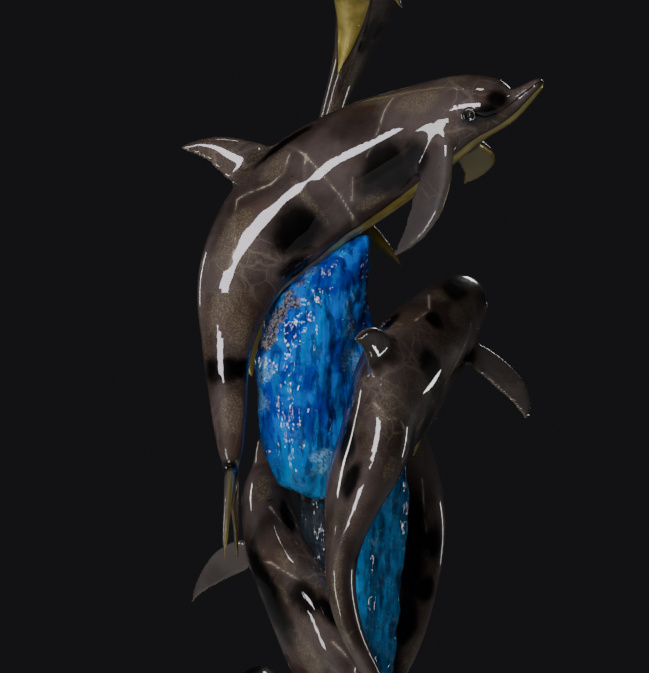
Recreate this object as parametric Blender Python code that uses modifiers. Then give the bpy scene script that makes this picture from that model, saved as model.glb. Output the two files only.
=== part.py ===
# Dolphin group: six bronze dolphins swim round a blue wave that stands on a low round plinth.
# Lengths are in metres, +Z is up, and the origin is at the centre of the plinth's underside.

import bmesh
import bpy
import numpy as np
from math import cos, pi, sin, tau
from mathutils import Vector

# Driving sizes
group_height = 1.12         # from the plinth's top to the highest dolphin's back
plinth_radius = 0.20
plinth_height = 0.04
plinth_edge = 0.006         # radius of the plinth's rounded edges
seam_gap = 0.0005           # left between pieces that touch

# Poses are modelled on a height of 112 steps, so that a step is 10 mm at the size above
steps_in_height = 112
step = group_height / steps_in_height

# Mesh fineness
body_sides = 12
wave_sides = 18
plinth_sides = 48

# A dolphin's body, from the beak's tip to the notch of the flukes. Each row is a share of the
# length, then the reach of the back, the belly and the flank from the middle line, in hundredths.
body_rows = (
    (0.000, 0.30, 0.35, 0.40),
    (0.008, 0.95, 0.90, 1.10),
    (0.024, 1.30, 1.25, 1.55),
    (0.046, 1.75, 1.80, 2.00),
    (0.060, 2.30, 2.25, 2.40),
    (0.075, 4.00, 2.90, 3.20),
    (0.100, 5.10, 3.80, 4.15),
    (0.145, 6.20, 5.40, 4.90),
    (0.195, 6.90, 6.90, 5.60),
    (0.240, 7.60, 7.90, 6.15),
    (0.300, 8.90, 9.10, 6.60),
    (0.370, 9.90, 9.60, 6.85),
    (0.440, 10.2, 9.90, 6.75),
    (0.505, 10.0, 9.70, 6.25),
    (0.560, 9.00, 8.80, 5.50),
    (0.630, 7.30, 7.00, 4.20),
    (0.690, 5.70, 5.50, 3.15),
    (0.750, 4.20, 4.10, 2.50),
    (0.810, 3.40, 3.30, 2.15),
    (0.870, 2.80, 2.70, 1.80),
    (0.925, 2.00, 1.90, 1.65),
    (0.970, 1.00, 0.95, 1.50),
)

# Fin outlines: reach outwards, leading edge, trailing edge and half thickness, in hundredths of
# the dolphin's length. Edges are measured forwards from the fin's own axis.
dorsal_rows = (
    (5.5, 6.8, -4.6, 1.30),
    (9.6, 5.6, -4.3, 1.10),
    (12.2, 3.7, -4.0, 0.95),
    (15.2, 1.8, -4.1, 0.75),
    (17.6, -0.4, -4.8, 0.60),
    (19.3, -2.8, -5.6, 0.45),
    (20.4, -5.3, -6.1, 0.25),
)
pectoral_rows = (
    (-3.0, 3.0, -2.5, 1.10),
    (0.5, 3.1, -2.6, 1.05),
    (4.8, 3.5, -2.8, 0.90),
    (9.1, 3.0, -3.1, 0.75),
    (12.9, 1.2, -3.5, 0.60),
    (15.9, -1.4, -4.2, 0.45),
    (17.8, -4.1, -5.0, 0.25),
)
fluke_rows = (
    (0.0, 6.0, 0.2, 1.20),
    (2.2, 5.2, -1.7, 1.05),
    (5.0, 3.1, -3.0, 0.80),
    (8.0, -0.2, -4.7, 0.60),
    (11.0, -4.0, -6.9, 0.45),
    (13.0, -7.3, -8.8, 0.30),
    (13.9, -9.2, -9.7, 0.20),
)
# A fin's section, from its leading to its trailing edge: share of the chord, share of the thickness
fin_section = ((0.0, 0.5), (0.2, 0.95), (0.62, 0.85), (1.0, 0.22))

# Each dolphin's middle line, from beak to flukes, in steps from the centre of the plinth's top,
# with the direction that its back faces at shares of its length. A lean is how far a pectoral
# fin reaches sideways, down and aft.
dolphins = {
    "upper_dolphin": {
        "line": (
            (20.1, -13.0, 87.1), (17.0, -11.1, 85.0), (12.5, -8.4, 84.1), (7.9, -5.4, 82.4),
            (1.6, -2.9, 78.9), (-2.8, -2.2, 76.1), (-7.2, -2.6, 71.6), (-9.6, -3.8, 67.2),
            (-10.6, -5.8, 61.4), (-10.4, -7.4, 55.0), (-10.2, -8.2, 50.2), (-10.2, -8.4, 46.4),
        ),
        "backs": (
            (0.0, (-0.45, 0.15, 0.88)), (0.3, (-0.5, 0.22, 0.84)), (0.5, (-0.8, 0.15, 0.58)),
            (0.75, (-1.0, 0.1, 0.1)), (1.0, (-1.0, 0.05, 0.0)),
        ),
        "dorsal_at": 0.493, "pectoral_at": 0.195,
        "right_lean": (0.2, 1.0, 0.5), "left_lean": (0.97, 0.28, 0.4),
    },
    "right_dolphin": {
        "line": (
            (15.2, 12.0, 66.7), (13.9, 8.2, 66.1), (12.2, 4.0, 64.9), (9.9, -0.6, 62.5),
            (7.4, -5.0, 59.3), (5.3, -8.8, 55.6), (3.6, -11.6, 51.3), (1.9, -13.8, 47.0),
            (0.9, -15.4, 43.0), (0.5, -16.8, 39.2), (1.2, -17.6, 35.2), (3.0, -17.8, 30.8),
            (5.6, -17.4, 26.4),
        ),
        "backs": (
            (0.0, (-0.3, -0.3, 0.9)), (0.2, (-0.4, -0.6, 0.6)), (0.42, (-0.4, -0.86, 0.3)),
            (0.58, (0.46, -0.87, 0.12)), (0.67, (0.32, -0.94, 0.1)), (0.76, (-0.2, -0.97, 0.1)),
            (0.86, (-0.2, -0.97, 0.0)), (1.0, (0.1, -1.0, 0.0)),
        ),
        "dorsal_at": 0.43, "pectoral_at": 0.22,
        "right_lean": (0.79, 0.51, 0.33), "left_lean": (0.3, 0.9, 0.0),
    },
    "left_dolphin": {
        "line": (
            (-7.3, 7.6, 52.2), (-7.1, 6.6, 48.6), (-6.8, 5.2, 44.8), (-5.7, 3.2, 40.8),
            (-3.6, 1.2, 36.6), (-1.6, -0.4, 32.4), (0.2, -1.0, 28.2), (1.9, -0.6, 23.4),
            (3.6, 1.2, 18.2), (5.1, 4.2, 13.4), (6.5, 8.4, 9.6), (7.5, 12.6, 7.2),
        ),
        "backs": (
            (0.0, (0.1, -0.9, 0.3)), (0.25, (0.1, -1.0, 0.1)), (0.45, (0.45, -0.9, 0.1)),
            (0.75, (0.4, -0.8, 0.4)), (1.0, (0.3, -0.3, 0.9)),
        ),
        "dorsal_at": 0.52, "pectoral_at": 0.20,
        "right_lean": (0.45, 0.86, 0.23), "left_lean": (0.63, 0.74, -0.23),
    },
    "back_dolphin": {
        "line": (
            (-2.0, 12.4, 81.0), (-2.1, 11.6, 76.8), (-2.1, 10.8, 71.8), (-1.7, 10.4, 66.0),
            (0.1, 10.2, 60.6), (2.9, 9.8, 55.2), (5.4, 9.2, 50.4), (7.5, 8.4, 45.6),
            (8.5, 7.6, 41.0), (8.4, 6.8, 37.0), (7.7, 6.2, 33.0), (6.7, 5.7, 29.0),
            (6.0, 5.4, 25.2),
        ),
        "backs": (
            (0.0, (0.0, 1.0, 0.1)), (0.3, (0.1, 1.0, 0.0)), (0.55, (0.8, 0.7, 0.0)),
            (0.75, (1.0, 0.2, 0.0)), (1.0, (1.0, 0.1, 0.0)),
        ),
        "dorsal_at": 0.47, "pectoral_at": 0.22,
        "right_lean": (0.6, 0.2, 0.75), "left_lean": (0.2, 0.3, 0.93),
    },
    "top_dolphin": {
        "line": (
            (-9.2, -20.5, 110.5), (-6.0, -18.3, 109.5), (-2.3, -15.6, 108.2), (1.3, -11.6, 106.5),
            (3.3, -6.6, 103.6), (3.8, -1.8, 100.0), (3.2, 1.6, 96.0), (1.9, 3.5, 91.4),
            (0.4, 4.4, 87.0), (-0.8, 4.9, 82.8), (-1.3, 5.0, 78.4), (-1.1, 4.9, 74.2),
        ),
        "backs": (
            (0.0, (0.3, 0.2, 0.9)), (0.3, (0.4, 0.4, 0.8)), (0.5, (0.55, 0.8, 0.3)),
            (0.65, (0.33, 0.93, 0.1)), (0.78, (0.26, 0.96, 0.0)), (1.0, (0.0, 1.0, 0.0)),
        ),
        "dorsal_at": 0.48, "pectoral_at": 0.28,
        "right_lean": (0.5, 0.75, 0.4), "left_lean": (0.5, 0.78, 0.35),
    },
    "lower_dolphin": {
        "line": (
            (-6.6, 12.4, 27.1), (-7.2, 8.8, 26.7), (-7.9, 5.0, 25.3), (-8.6, 0.6, 22.3),
            (-8.6, -4.2, 18.3), (-7.3, -8.4, 14.0), (-4.3, -11.2, 10.6), (-0.5, -12.3, 8.6),
            (3.5, -11.8, 7.6), (7.5, -10.0, 7.2), (11.2, -7.2, 7.5), (14.6, -3.8, 8.4),
        ),
        "backs": (
            (0.0, (-0.2, -0.5, 0.8)), (0.25, (-0.4, -0.7, 0.5)), (0.5, (-0.5, -0.8, 0.5)),
            (0.75, (0.0, -0.7, 0.7)), (1.0, (0.0, -0.3, 0.95)),
        ),
        "dorsal_at": 0.46, "pectoral_at": 0.25,
        "right_lean": (0.15, 0.8, 0.5), "left_lean": (0.7, 0.4, 0.5),
    },
}

# The wave. Each row is a height, then a centre across and in depth, and half widths, in steps.
wave_stem_rows = (
    (0.0, 0.4, 0.5, 14.5, 13.5),
    (1.2, 0.4, 0.5, 13.5, 12.5),
    (2.8, 0.3, 0.6, 10.8, 10.4),
    (5.0, 0.2, 0.8, 8.4, 8.6),
    (8.0, 0.1, 1.0, 6.6, 7.4),
    (12.0, 0.2, 1.6, 5.4, 6.2),
    (17.0, 0.6, 2.2, 4.6, 5.2),
    (23.0, 1.2, 2.6, 4.1, 4.6),
    (30.0, 1.7, 2.4, 3.9, 4.4),
    (36.0, 2.3, 2.0, 4.0, 4.4),
    (42.0, 2.2, 1.6, 4.8, 4.6),
    (47.0, 1.9, 1.2, 5.2, 4.8),
    (52.0, 1.6, 0.6, 5.2, 5.2),
    (58.0, 0.0, 0.2, 5.6, 5.0),
    (63.0, -1.2, 0.6, 5.2, 4.4),
    (67.0, -1.4, 1.2, 4.6, 3.1),
    (71.0, -1.3, 1.9, 4.0, 2.3),
    (75.0, -1.4, 2.7, 3.0, 1.6),
    (78.0, -1.6, 3.6, 1.6, 0.9),
)
wave_crest_rows = (
    (46.4, -1.3, -5.0, 0.9, 0.8),
    (47.4, -2.4, -4.6, 2.6, 1.8),
    (49.5, -2.9, -4.0, 3.7, 2.8),
    (52.2, -3.1, -3.4, 4.3, 3.6),
    (56.0, -3.2, -2.9, 4.5, 4.2),
    (59.6, -3.1, -2.6, 4.8, 4.4),
    (63.0, -2.4, -2.4, 4.8, 4.4),
    (66.0, -1.4, -2.2, 4.5, 4.1),
    (68.6, -0.1, -2.2, 3.5, 3.4),
    (70.7, 1.6, -2.6, 1.9, 2.2),
    (72.4, 3.2, -3.0, 0.5, 0.7),
)
flute_count = 5
flute_depth = 0.10          # share of the stem's half width
flute_turn = 0.045          # turn of the flutes for each step of height, in radians

colours = {
    "dolphin": (0.12, 0.095, 0.08, 1.0),
    "wave": (0.02, 0.25, 0.62, 1.0),
    "plinth": (0.02, 0.02, 0.022, 1.0),
}


def clear_scene():
    for item in list(bpy.data.objects):
        bpy.data.objects.remove(item)


def new_collection(name):
    made = bpy.data.collections.new(name)
    bpy.context.scene.collection.children.link(made)
    return made


def principled(name, colour, roughness, metallic):
    material = bpy.data.materials.new(name)
    material.use_nodes = True
    shader = material.node_tree.nodes["Principled BSDF"]
    shader.inputs["Base Color"].default_value = colour
    shader.inputs["Roughness"].default_value = roughness
    shader.inputs["Metallic"].default_value = metallic
    return material


def place(point):
    """A point given in steps from the centre of the plinth's top, as metres."""
    x, y, z = point
    return Vector((x * step, y * step, plinth_height + z * step))


class MiddleLine:
    """A smooth line through a dolphin's points, read by shares of its length."""

    span_samples = 20

    def __init__(self, pose):
        points = [place(p) for p in pose["line"]]
        ends = [2 * points[0] - points[1]] + points + [2 * points[-1] - points[-2]]
        line = []
        for before, start, end, after in zip(ends, ends[1:], ends[2:], ends[3:]):
            for k in range(self.span_samples):
                line.append(self.between(before, start, end, after, k / self.span_samples))
        self.samples = np.array(line + [points[-1]])
        runs = np.linalg.norm(np.diff(self.samples, axis=0), axis=1)
        self.along = np.concatenate([[0.0], np.cumsum(runs)])
        self.length = float(self.along[-1])
        self.back_shares = [share for share, _ in pose["backs"]]
        self.back_ways = np.array([Vector(way).normalized() for _, way in pose["backs"]])

    @staticmethod
    def between(before, start, end, after, t):
        return 0.5 * (
            2 * start + (end - before) * t
            + (2 * before - 5 * start + 4 * end - after) * t ** 2
            + (3 * start - before - 3 * end + after) * t ** 3
        )

    def point(self, share):
        at = share * self.length
        return Vector([np.interp(at, self.along, self.samples[:, k]) for k in range(3)])

    def axes(self, share):
        """The ways to the head, to the back and to the dolphin's right side."""
        reach = 0.01
        low, high = max(share - reach, 0.0), min(share + reach, 1.0)
        head = (self.point(low) - self.point(high)).normalized()
        back = Vector([np.interp(share, self.back_shares, self.back_ways[:, k]) for k in range(3)])
        back = (back - head * back.dot(head)).normalized()
        return head, back, head.cross(back)


def skin(name, rings, collection):
    """A closed loft through rings that all have the same number of points."""
    work = bmesh.new()
    loops = [[work.verts.new(p) for p in ring] for ring in rings]
    count = len(rings[0])
    for low, high in zip(loops, loops[1:]):
        for k in range(count):
            following = (k + 1) % count
            work.faces.new((low[k], low[following], high[following], high[k]))
    work.faces.new(loops[0])
    work.faces.new(loops[-1])
    bmesh.ops.recalc_face_normals(work, faces=work.faces)
    bmesh.ops.triangulate(work, faces=work.faces)
    mesh = bpy.data.meshes.new(name)
    work.to_mesh(mesh)
    work.free()
    made = bpy.data.objects.new(name, mesh)
    collection.objects.link(made)
    return made


def body_ring(line, row):
    share, up, down, flank = row
    hundredth = line.length / 100
    centre = line.point(share)
    _, back, right = line.axes(share)
    ring = []
    for k in range(body_sides):
        angle = tau * k / body_sides
        rise = up if sin(angle) > 0 else down
        ring.append(centre + hundredth * (right * flank * cos(angle) + back * rise * sin(angle)))
    return ring


def fin_ring(centre, forward, face, row, hundredth):
    _, lead, trail, thick = row
    side = [(share, thick * part) for share, part in fin_section]
    loop = side + [(share, -half) for share, half in reversed(side)]
    return [
        centre + hundredth * (forward * (lead + (trail - lead) * share) + face * half)
        for share, half in loop
    ]


def fin(name, rows, root, out, forward, hundredth, collection):
    """A blade whose rows reach along out from its root."""
    face = out.cross(forward).normalized()
    rings = [
        fin_ring(root + out * row[0] * hundredth, forward, face, row, hundredth) for row in rows
    ]
    return skin(name, rings, collection)


def dorsal_fin(name, pose, line, tools):
    head, back, _ = line.axes(pose["dorsal_at"])
    root = line.point(pose["dorsal_at"])
    return fin(name, dorsal_rows, root, back, head, line.length / 100, tools)


def pectoral_fin(name, pose, line, hand, tools):
    """hand is 1 for the right fin and -1 for the left one."""
    share = pose["pectoral_at"]
    head, back, right = line.axes(share)
    hundredth = line.length / 100
    sideways, down, aft = pose["right_lean" if hand > 0 else "left_lean"]
    out = (right * hand * sideways - back * down - head * aft).normalized()
    forward = (head - out * head.dot(out)).normalized()
    flank_angle = 0.24 * pi
    root = line.point(share) + hundredth * (
        right * hand * 5.7 * cos(flank_angle) - back * 6.8 * sin(flank_angle)
    )
    return fin(name, pectoral_rows, root, out, forward, hundredth, tools)


def flukes(name, line, tools):
    share = 1.0
    head, _, right = line.axes(share)
    notch = line.point(share)
    rows = [(-row[0], *row[1:]) for row in reversed(fluke_rows[1:])] + list(fluke_rows)
    return fin(name, rows, notch, right, head, line.length / 100, tools)


def bake(item):
    """Puts the modifiers' result into the object's own mesh."""
    result = item.evaluated_get(bpy.context.evaluated_depsgraph_get())
    mesh = bpy.data.meshes.new_from_object(result)
    item.modifiers.clear()
    item.data = mesh


def combine(item, others, operation):
    for other in others:
        change = item.modifiers.new(other.name, "BOOLEAN")
        change.operation = operation
        change.solver = "EXACT"
        change.object = other
    bpy.context.view_layer.update()
    bake(item)
    for other in others:
        bpy.data.objects.remove(other)


def dolphin(name, pose, material, group, tools):
    line = MiddleLine(pose)
    body = skin(name, [body_ring(line, row) for row in body_rows], group)
    fins = [
        dorsal_fin(name + "_dorsal", pose, line, tools),
        pectoral_fin(name + "_right_fin", pose, line, 1, tools),
        pectoral_fin(name + "_left_fin", pose, line, -1, tools),
        flukes(name + "_flukes", line, tools),
    ]
    combine(body, fins, "UNION")
    body.data.materials.clear()
    body.data.materials.append(material)
    body.data.shade_smooth()
    return body


def oval_ring(row, depth, turn):
    """A level ring of the wave, with flutes that turn as they climb."""
    height, across, back, half_width, half_depth = row
    ring = []
    for k in range(wave_sides):
        angle = tau * k / wave_sides
        swell = 1 + depth * cos(flute_count * angle + turn * height)
        x = across + half_width * swell * cos(angle)
        y = back + half_depth * swell * sin(angle)
        ring.append(place((x, y, height)) + Vector((0, 0, seam_gap)))
    return ring


def seat_tool(item, tools):
    """A dolphin swollen by the seam gap, which cuts its seat in the wave."""
    tool = bpy.data.objects.new(item.name + "_seat", item.data.copy())
    tools.objects.link(tool)
    ways = [vertex.normal.copy() for vertex in tool.data.vertices]
    for vertex, way in zip(tool.data.vertices, ways):
        vertex.co += way * seam_gap
    return tool


def keep_largest_body(item):
    """Drops the crumbs that the seats cut loose from the wave."""
    work = bmesh.new()
    work.from_mesh(item.data)
    left, bodies = set(work.verts), []
    while left:
        body, edge = set(), [left.pop()]
        while edge:
            vertex = edge.pop()
            body.add(vertex)
            for link in vertex.link_edges:
                other = link.other_vert(vertex)
                if other in left:
                    left.remove(other)
                    edge.append(other)
        bodies.append(body)
    bodies.sort(key=len)
    crumbs = [vertex for body in bodies[:-1] for vertex in body]
    bmesh.ops.delete(work, geom=crumbs, context="VERTS")
    work.to_mesh(item.data)
    work.free()


def wave(animals, material, group, tools):
    stem = skin("wave", [oval_ring(r, flute_depth, flute_turn) for r in wave_stem_rows], group)
    crest = skin("wave_crest", [oval_ring(r, 0.0, 0.0) for r in wave_crest_rows], tools)
    combine(stem, [crest], "UNION")
    combine(stem, [seat_tool(animal, tools) for animal in animals], "DIFFERENCE")
    keep_largest_body(stem)
    stem.data.materials.clear()
    stem.data.materials.append(material)
    return stem


def plinth(material, group):
    bpy.ops.mesh.primitive_cylinder_add(
        vertices=plinth_sides, radius=plinth_radius, depth=plinth_height,
        location=(0, 0, plinth_height / 2),
    )
    disc = bpy.context.object
    disc.name = "plinth"
    for holder in list(disc.users_collection):
        holder.objects.unlink(disc)
    group.objects.link(disc)
    rounding = disc.modifiers.new("rounded edges", "BEVEL")
    rounding.width = plinth_edge
    rounding.segments = 2
    rounding.limit_method = "ANGLE"
    disc.data.materials.append(material)
    return disc


def main():
    clear_scene()
    group = new_collection("dolphin_statue")
    tools = new_collection("tools")
    patina = principled("dolphin_patina", colours["dolphin"], 0.15, 0.3)
    blue = principled("wave_blue", colours["wave"], 0.15, 0.0)
    black = principled("plinth_black", colours["plinth"], 0.25, 0.0)
    animals = [dolphin(name, pose, patina, group, tools) for name, pose in dolphins.items()]
    wave(animals, blue, group, tools)
    plinth(black, group)


main()
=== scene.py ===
# Dolphin statue: gloss-lacquered cast dolphins round a blue wave, on a black stone plinth
import math

import bmesh
import bpy
import numpy as np
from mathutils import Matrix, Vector, kdtree, noise
from mathutils.bvhtree import BVHTree


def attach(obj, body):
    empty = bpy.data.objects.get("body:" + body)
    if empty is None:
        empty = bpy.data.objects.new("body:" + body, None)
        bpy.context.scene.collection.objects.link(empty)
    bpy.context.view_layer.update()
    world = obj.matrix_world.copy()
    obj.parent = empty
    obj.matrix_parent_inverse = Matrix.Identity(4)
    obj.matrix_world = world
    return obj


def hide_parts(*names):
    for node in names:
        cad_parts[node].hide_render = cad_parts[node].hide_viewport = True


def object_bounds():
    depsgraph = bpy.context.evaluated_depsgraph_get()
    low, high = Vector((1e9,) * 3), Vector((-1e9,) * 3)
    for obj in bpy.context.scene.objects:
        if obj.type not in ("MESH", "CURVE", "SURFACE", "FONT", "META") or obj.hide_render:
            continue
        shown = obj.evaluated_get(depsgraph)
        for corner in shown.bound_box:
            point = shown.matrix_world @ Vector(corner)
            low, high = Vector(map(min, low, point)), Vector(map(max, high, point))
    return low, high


print("Loading the frame")
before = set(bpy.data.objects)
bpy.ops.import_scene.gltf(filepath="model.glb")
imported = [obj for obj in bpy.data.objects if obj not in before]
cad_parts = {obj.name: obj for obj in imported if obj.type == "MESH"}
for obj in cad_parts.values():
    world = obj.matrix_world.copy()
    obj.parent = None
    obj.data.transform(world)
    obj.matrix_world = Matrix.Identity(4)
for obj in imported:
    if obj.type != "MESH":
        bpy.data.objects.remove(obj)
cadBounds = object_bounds()

groupSizes = {
    "step": 0.01,        # one step of the pose tables, in metres
    "plinthTop": 0.04,
    "spanSamples": 40,   # samples between two points of a middle line
    "lineSamples": 481,  # samples along a whole middle line
    "headingReach": 0.01,  # share of the length that a heading is read over
    "evenSamples": 14,   # samples on each side that the backs' ways are averaged over
    "mergeGap": 0.00001,
    "millimetres": 1000,  # to the metre, for the gaps that the finishes read
}

# A body from beak tip to fluke notch: share of the length, then the reach of the back,
# the belly and the flank from the middle line, in hundredths of the length
bodyTable = (
    (0.000, 0.05, 0.05, 0.05), (0.0015, 0.42, 0.42, 0.55), (0.004, 0.68, 0.66, 0.84),
    (0.008, 0.95, 0.90, 1.10), (0.024, 1.30, 1.25, 1.55), (0.046, 1.72, 1.80, 2.00),
    (0.058, 2.10, 2.20, 2.35), (0.066, 3.00, 2.50, 2.75), (0.075, 4.00, 2.90, 3.20),
    (0.100, 5.10, 3.80, 4.15), (0.145, 6.20, 5.40, 4.90), (0.195, 6.90, 6.90, 5.60),
    (0.240, 7.60, 7.90, 6.15), (0.300, 8.90, 9.10, 6.60), (0.370, 9.90, 9.60, 6.85),
    (0.440, 10.2, 9.90, 6.75), (0.505, 10.0, 9.70, 6.25), (0.560, 9.00, 8.80, 5.50),
    (0.630, 7.30, 7.00, 4.20), (0.690, 5.70, 5.50, 3.15), (0.750, 4.20, 4.10, 2.50),
    (0.810, 3.40, 3.30, 2.15), (0.870, 2.80, 2.70, 1.80), (0.925, 2.00, 1.90, 1.65),
    (0.970, 1.00, 0.95, 1.50), (0.985, 0.60, 0.60, 1.30),
)

# Fins: reach outwards, leading edge, trailing edge and half thickness, in the same hundredths
dorsalTable = (
    (5.5, 6.8, -4.6, 1.30), (9.6, 5.6, -4.3, 1.10), (12.2, 3.7, -4.0, 0.95),
    (15.2, 1.8, -4.1, 0.75), (17.6, -0.4, -4.8, 0.60), (19.3, -2.8, -5.6, 0.45),
    (20.4, -5.3, -6.1, 0.25),
)
pectoralTable = (
    (-3.0, 3.0, -2.5, 1.10), (0.5, 3.1, -2.6, 1.05), (4.8, 3.5, -2.8, 0.90),
    (9.1, 3.0, -3.1, 0.75), (12.9, 1.2, -3.5, 0.60), (15.9, -1.4, -4.2, 0.45),
    (17.8, -4.1, -5.0, 0.25),
)
flukeTable = (
    (0.0, 6.0, 0.2, 1.20), (2.2, 5.2, -1.7, 1.05), (5.0, 3.1, -3.0, 0.80),
    (8.0, -0.2, -4.7, 0.60), (11.0, -4.0, -6.9, 0.45), (13.0, -7.3, -8.8, 0.30),
    (13.9, -9.2, -9.7, 0.20),
)

# Middle lines from beak to flukes in steps, the way the back faces at shares of the length,
# where the fins sit, and how far each pectoral reaches sideways, down and aft
swimPoses = {
    "upper_dolphin": {
        "line": (
            (20.1, -13.0, 87.1), (17.0, -11.1, 85.0), (12.5, -8.4, 84.1), (7.9, -5.4, 82.4),
            (1.6, -2.9, 78.9), (-2.8, -2.2, 76.1), (-7.2, -2.6, 71.6), (-9.6, -3.8, 67.2),
            (-10.6, -5.8, 61.4), (-10.4, -7.4, 55.0), (-10.2, -8.2, 50.2), (-10.2, -8.4, 46.4),
        ),
        "backs": (
            (0.0, (-0.45, 0.15, 0.88)), (0.3, (-0.5, 0.22, 0.84)), (0.5, (-0.8, 0.15, 0.58)),
            (0.75, (-1.0, 0.1, 0.1)), (1.0, (-1.0, 0.05, 0.0)),
        ),
        "dorsalAt": 0.493, "pectoralAt": 0.195,
        "rightLean": (0.2, 1.0, 0.5), "leftLean": (0.97, 0.28, 0.4),
    },
    "right_dolphin": {
        "line": (
            (15.2, 12.0, 66.7), (13.9, 8.2, 66.1), (12.2, 4.0, 64.9), (9.9, -0.6, 62.5),
            (7.4, -5.0, 59.3), (5.3, -8.8, 55.6), (3.6, -11.6, 51.3), (1.9, -13.8, 47.0),
            (0.9, -15.4, 43.0), (0.5, -16.8, 39.2), (1.2, -17.6, 35.2), (3.0, -17.8, 30.8),
            (5.6, -17.4, 26.4),
        ),
        "backs": (
            (0.0, (-0.3, -0.3, 0.9)), (0.2, (-0.4, -0.6, 0.6)), (0.42, (-0.4, -0.86, 0.3)),
            (0.58, (0.46, -0.87, 0.12)), (0.67, (0.32, -0.94, 0.1)), (0.76, (-0.2, -0.97, 0.1)),
            (0.86, (-0.2, -0.97, 0.0)), (1.0, (0.1, -1.0, 0.0)),
        ),
        "dorsalAt": 0.43, "pectoralAt": 0.22,
        "rightLean": (0.79, 0.51, 0.33), "leftLean": (0.3, 0.9, 0.0),
    },
    "left_dolphin": {
        "line": (
            (-7.3, 7.6, 52.2), (-7.1, 6.6, 48.6), (-6.8, 5.2, 44.8), (-5.7, 3.2, 40.8),
            (-3.6, 1.2, 36.6), (-1.6, -0.4, 32.4), (0.2, -1.0, 28.2), (1.9, -0.6, 23.4),
            (3.6, 1.2, 18.2), (5.1, 4.2, 13.4), (6.5, 8.4, 9.6), (7.5, 12.6, 7.2),
        ),
        "backs": (
            (0.0, (0.1, -0.9, 0.3)), (0.25, (0.1, -1.0, 0.1)), (0.45, (0.45, -0.9, 0.1)),
            (0.75, (0.4, -0.8, 0.4)), (1.0, (0.3, -0.3, 0.9)),
        ),
        "dorsalAt": 0.52, "pectoralAt": 0.20,
        "rightLean": (0.45, 0.86, 0.23), "leftLean": (0.63, 0.74, -0.23),
    },
    "back_dolphin": {
        "line": (
            (-2.0, 12.4, 81.0), (-2.1, 11.6, 76.8), (-2.1, 10.8, 71.8), (-1.7, 10.4, 66.0),
            (0.1, 10.2, 60.6), (2.9, 9.8, 55.2), (5.4, 9.2, 50.4), (7.5, 8.4, 45.6),
            (8.5, 7.6, 41.0), (8.4, 6.8, 37.0), (7.7, 6.2, 33.0), (6.7, 5.7, 29.0),
            (6.0, 5.4, 25.2),
        ),
        "backs": (
            (0.0, (0.0, 1.0, 0.1)), (0.3, (0.1, 1.0, 0.0)), (0.55, (0.8, 0.7, 0.0)),
            (0.75, (1.0, 0.2, 0.0)), (1.0, (1.0, 0.1, 0.0)),
        ),
        "dorsalAt": 0.47, "pectoralAt": 0.22,
        "rightLean": (0.6, 0.2, 0.75), "leftLean": (0.2, 0.3, 0.93),
    },
    "top_dolphin": {
        "line": (
            (-9.2, -20.5, 110.5), (-6.0, -18.3, 109.5), (-2.3, -15.6, 108.2), (1.3, -11.6, 106.5),
            (3.3, -6.6, 103.6), (3.8, -1.8, 100.0), (3.2, 1.6, 96.0), (1.9, 3.5, 91.4),
            (0.4, 4.4, 87.0), (-0.8, 4.9, 82.8), (-1.3, 5.0, 78.4), (-1.1, 4.9, 74.2),
        ),
        "backs": (
            (0.0, (0.3, 0.2, 0.9)), (0.3, (0.4, 0.4, 0.8)), (0.5, (0.55, 0.8, 0.3)),
            (0.65, (0.33, 0.93, 0.1)), (0.78, (0.26, 0.96, 0.0)), (1.0, (0.0, 1.0, 0.0)),
        ),
        "dorsalAt": 0.48, "pectoralAt": 0.28,
        "rightLean": (0.5, 0.75, 0.4), "leftLean": (0.5, 0.78, 0.35),
    },
    "lower_dolphin": {
        "line": (
            (-6.6, 12.4, 27.1), (-7.2, 8.8, 26.7), (-7.9, 5.0, 25.3), (-8.6, 0.6, 22.3),
            (-8.6, -4.2, 18.3), (-7.3, -8.4, 14.0), (-4.3, -11.2, 10.6), (-0.5, -12.3, 8.6),
            (3.5, -11.8, 7.6), (7.5, -10.0, 7.2), (11.2, -7.2, 7.5), (14.6, -3.8, 8.4),
        ),
        "backs": (
            (0.0, (-0.2, -0.5, 0.8)), (0.25, (-0.4, -0.7, 0.5)), (0.5, (-0.5, -0.8, 0.5)),
            (0.75, (0.0, -0.7, 0.7)), (1.0, (0.0, -0.3, 0.95)),
        ),
        "dorsalAt": 0.46, "pectoralAt": 0.25,
        "rightLean": (0.15, 0.8, 0.5), "leftLean": (0.7, 0.4, 0.5),
    },
}

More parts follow.
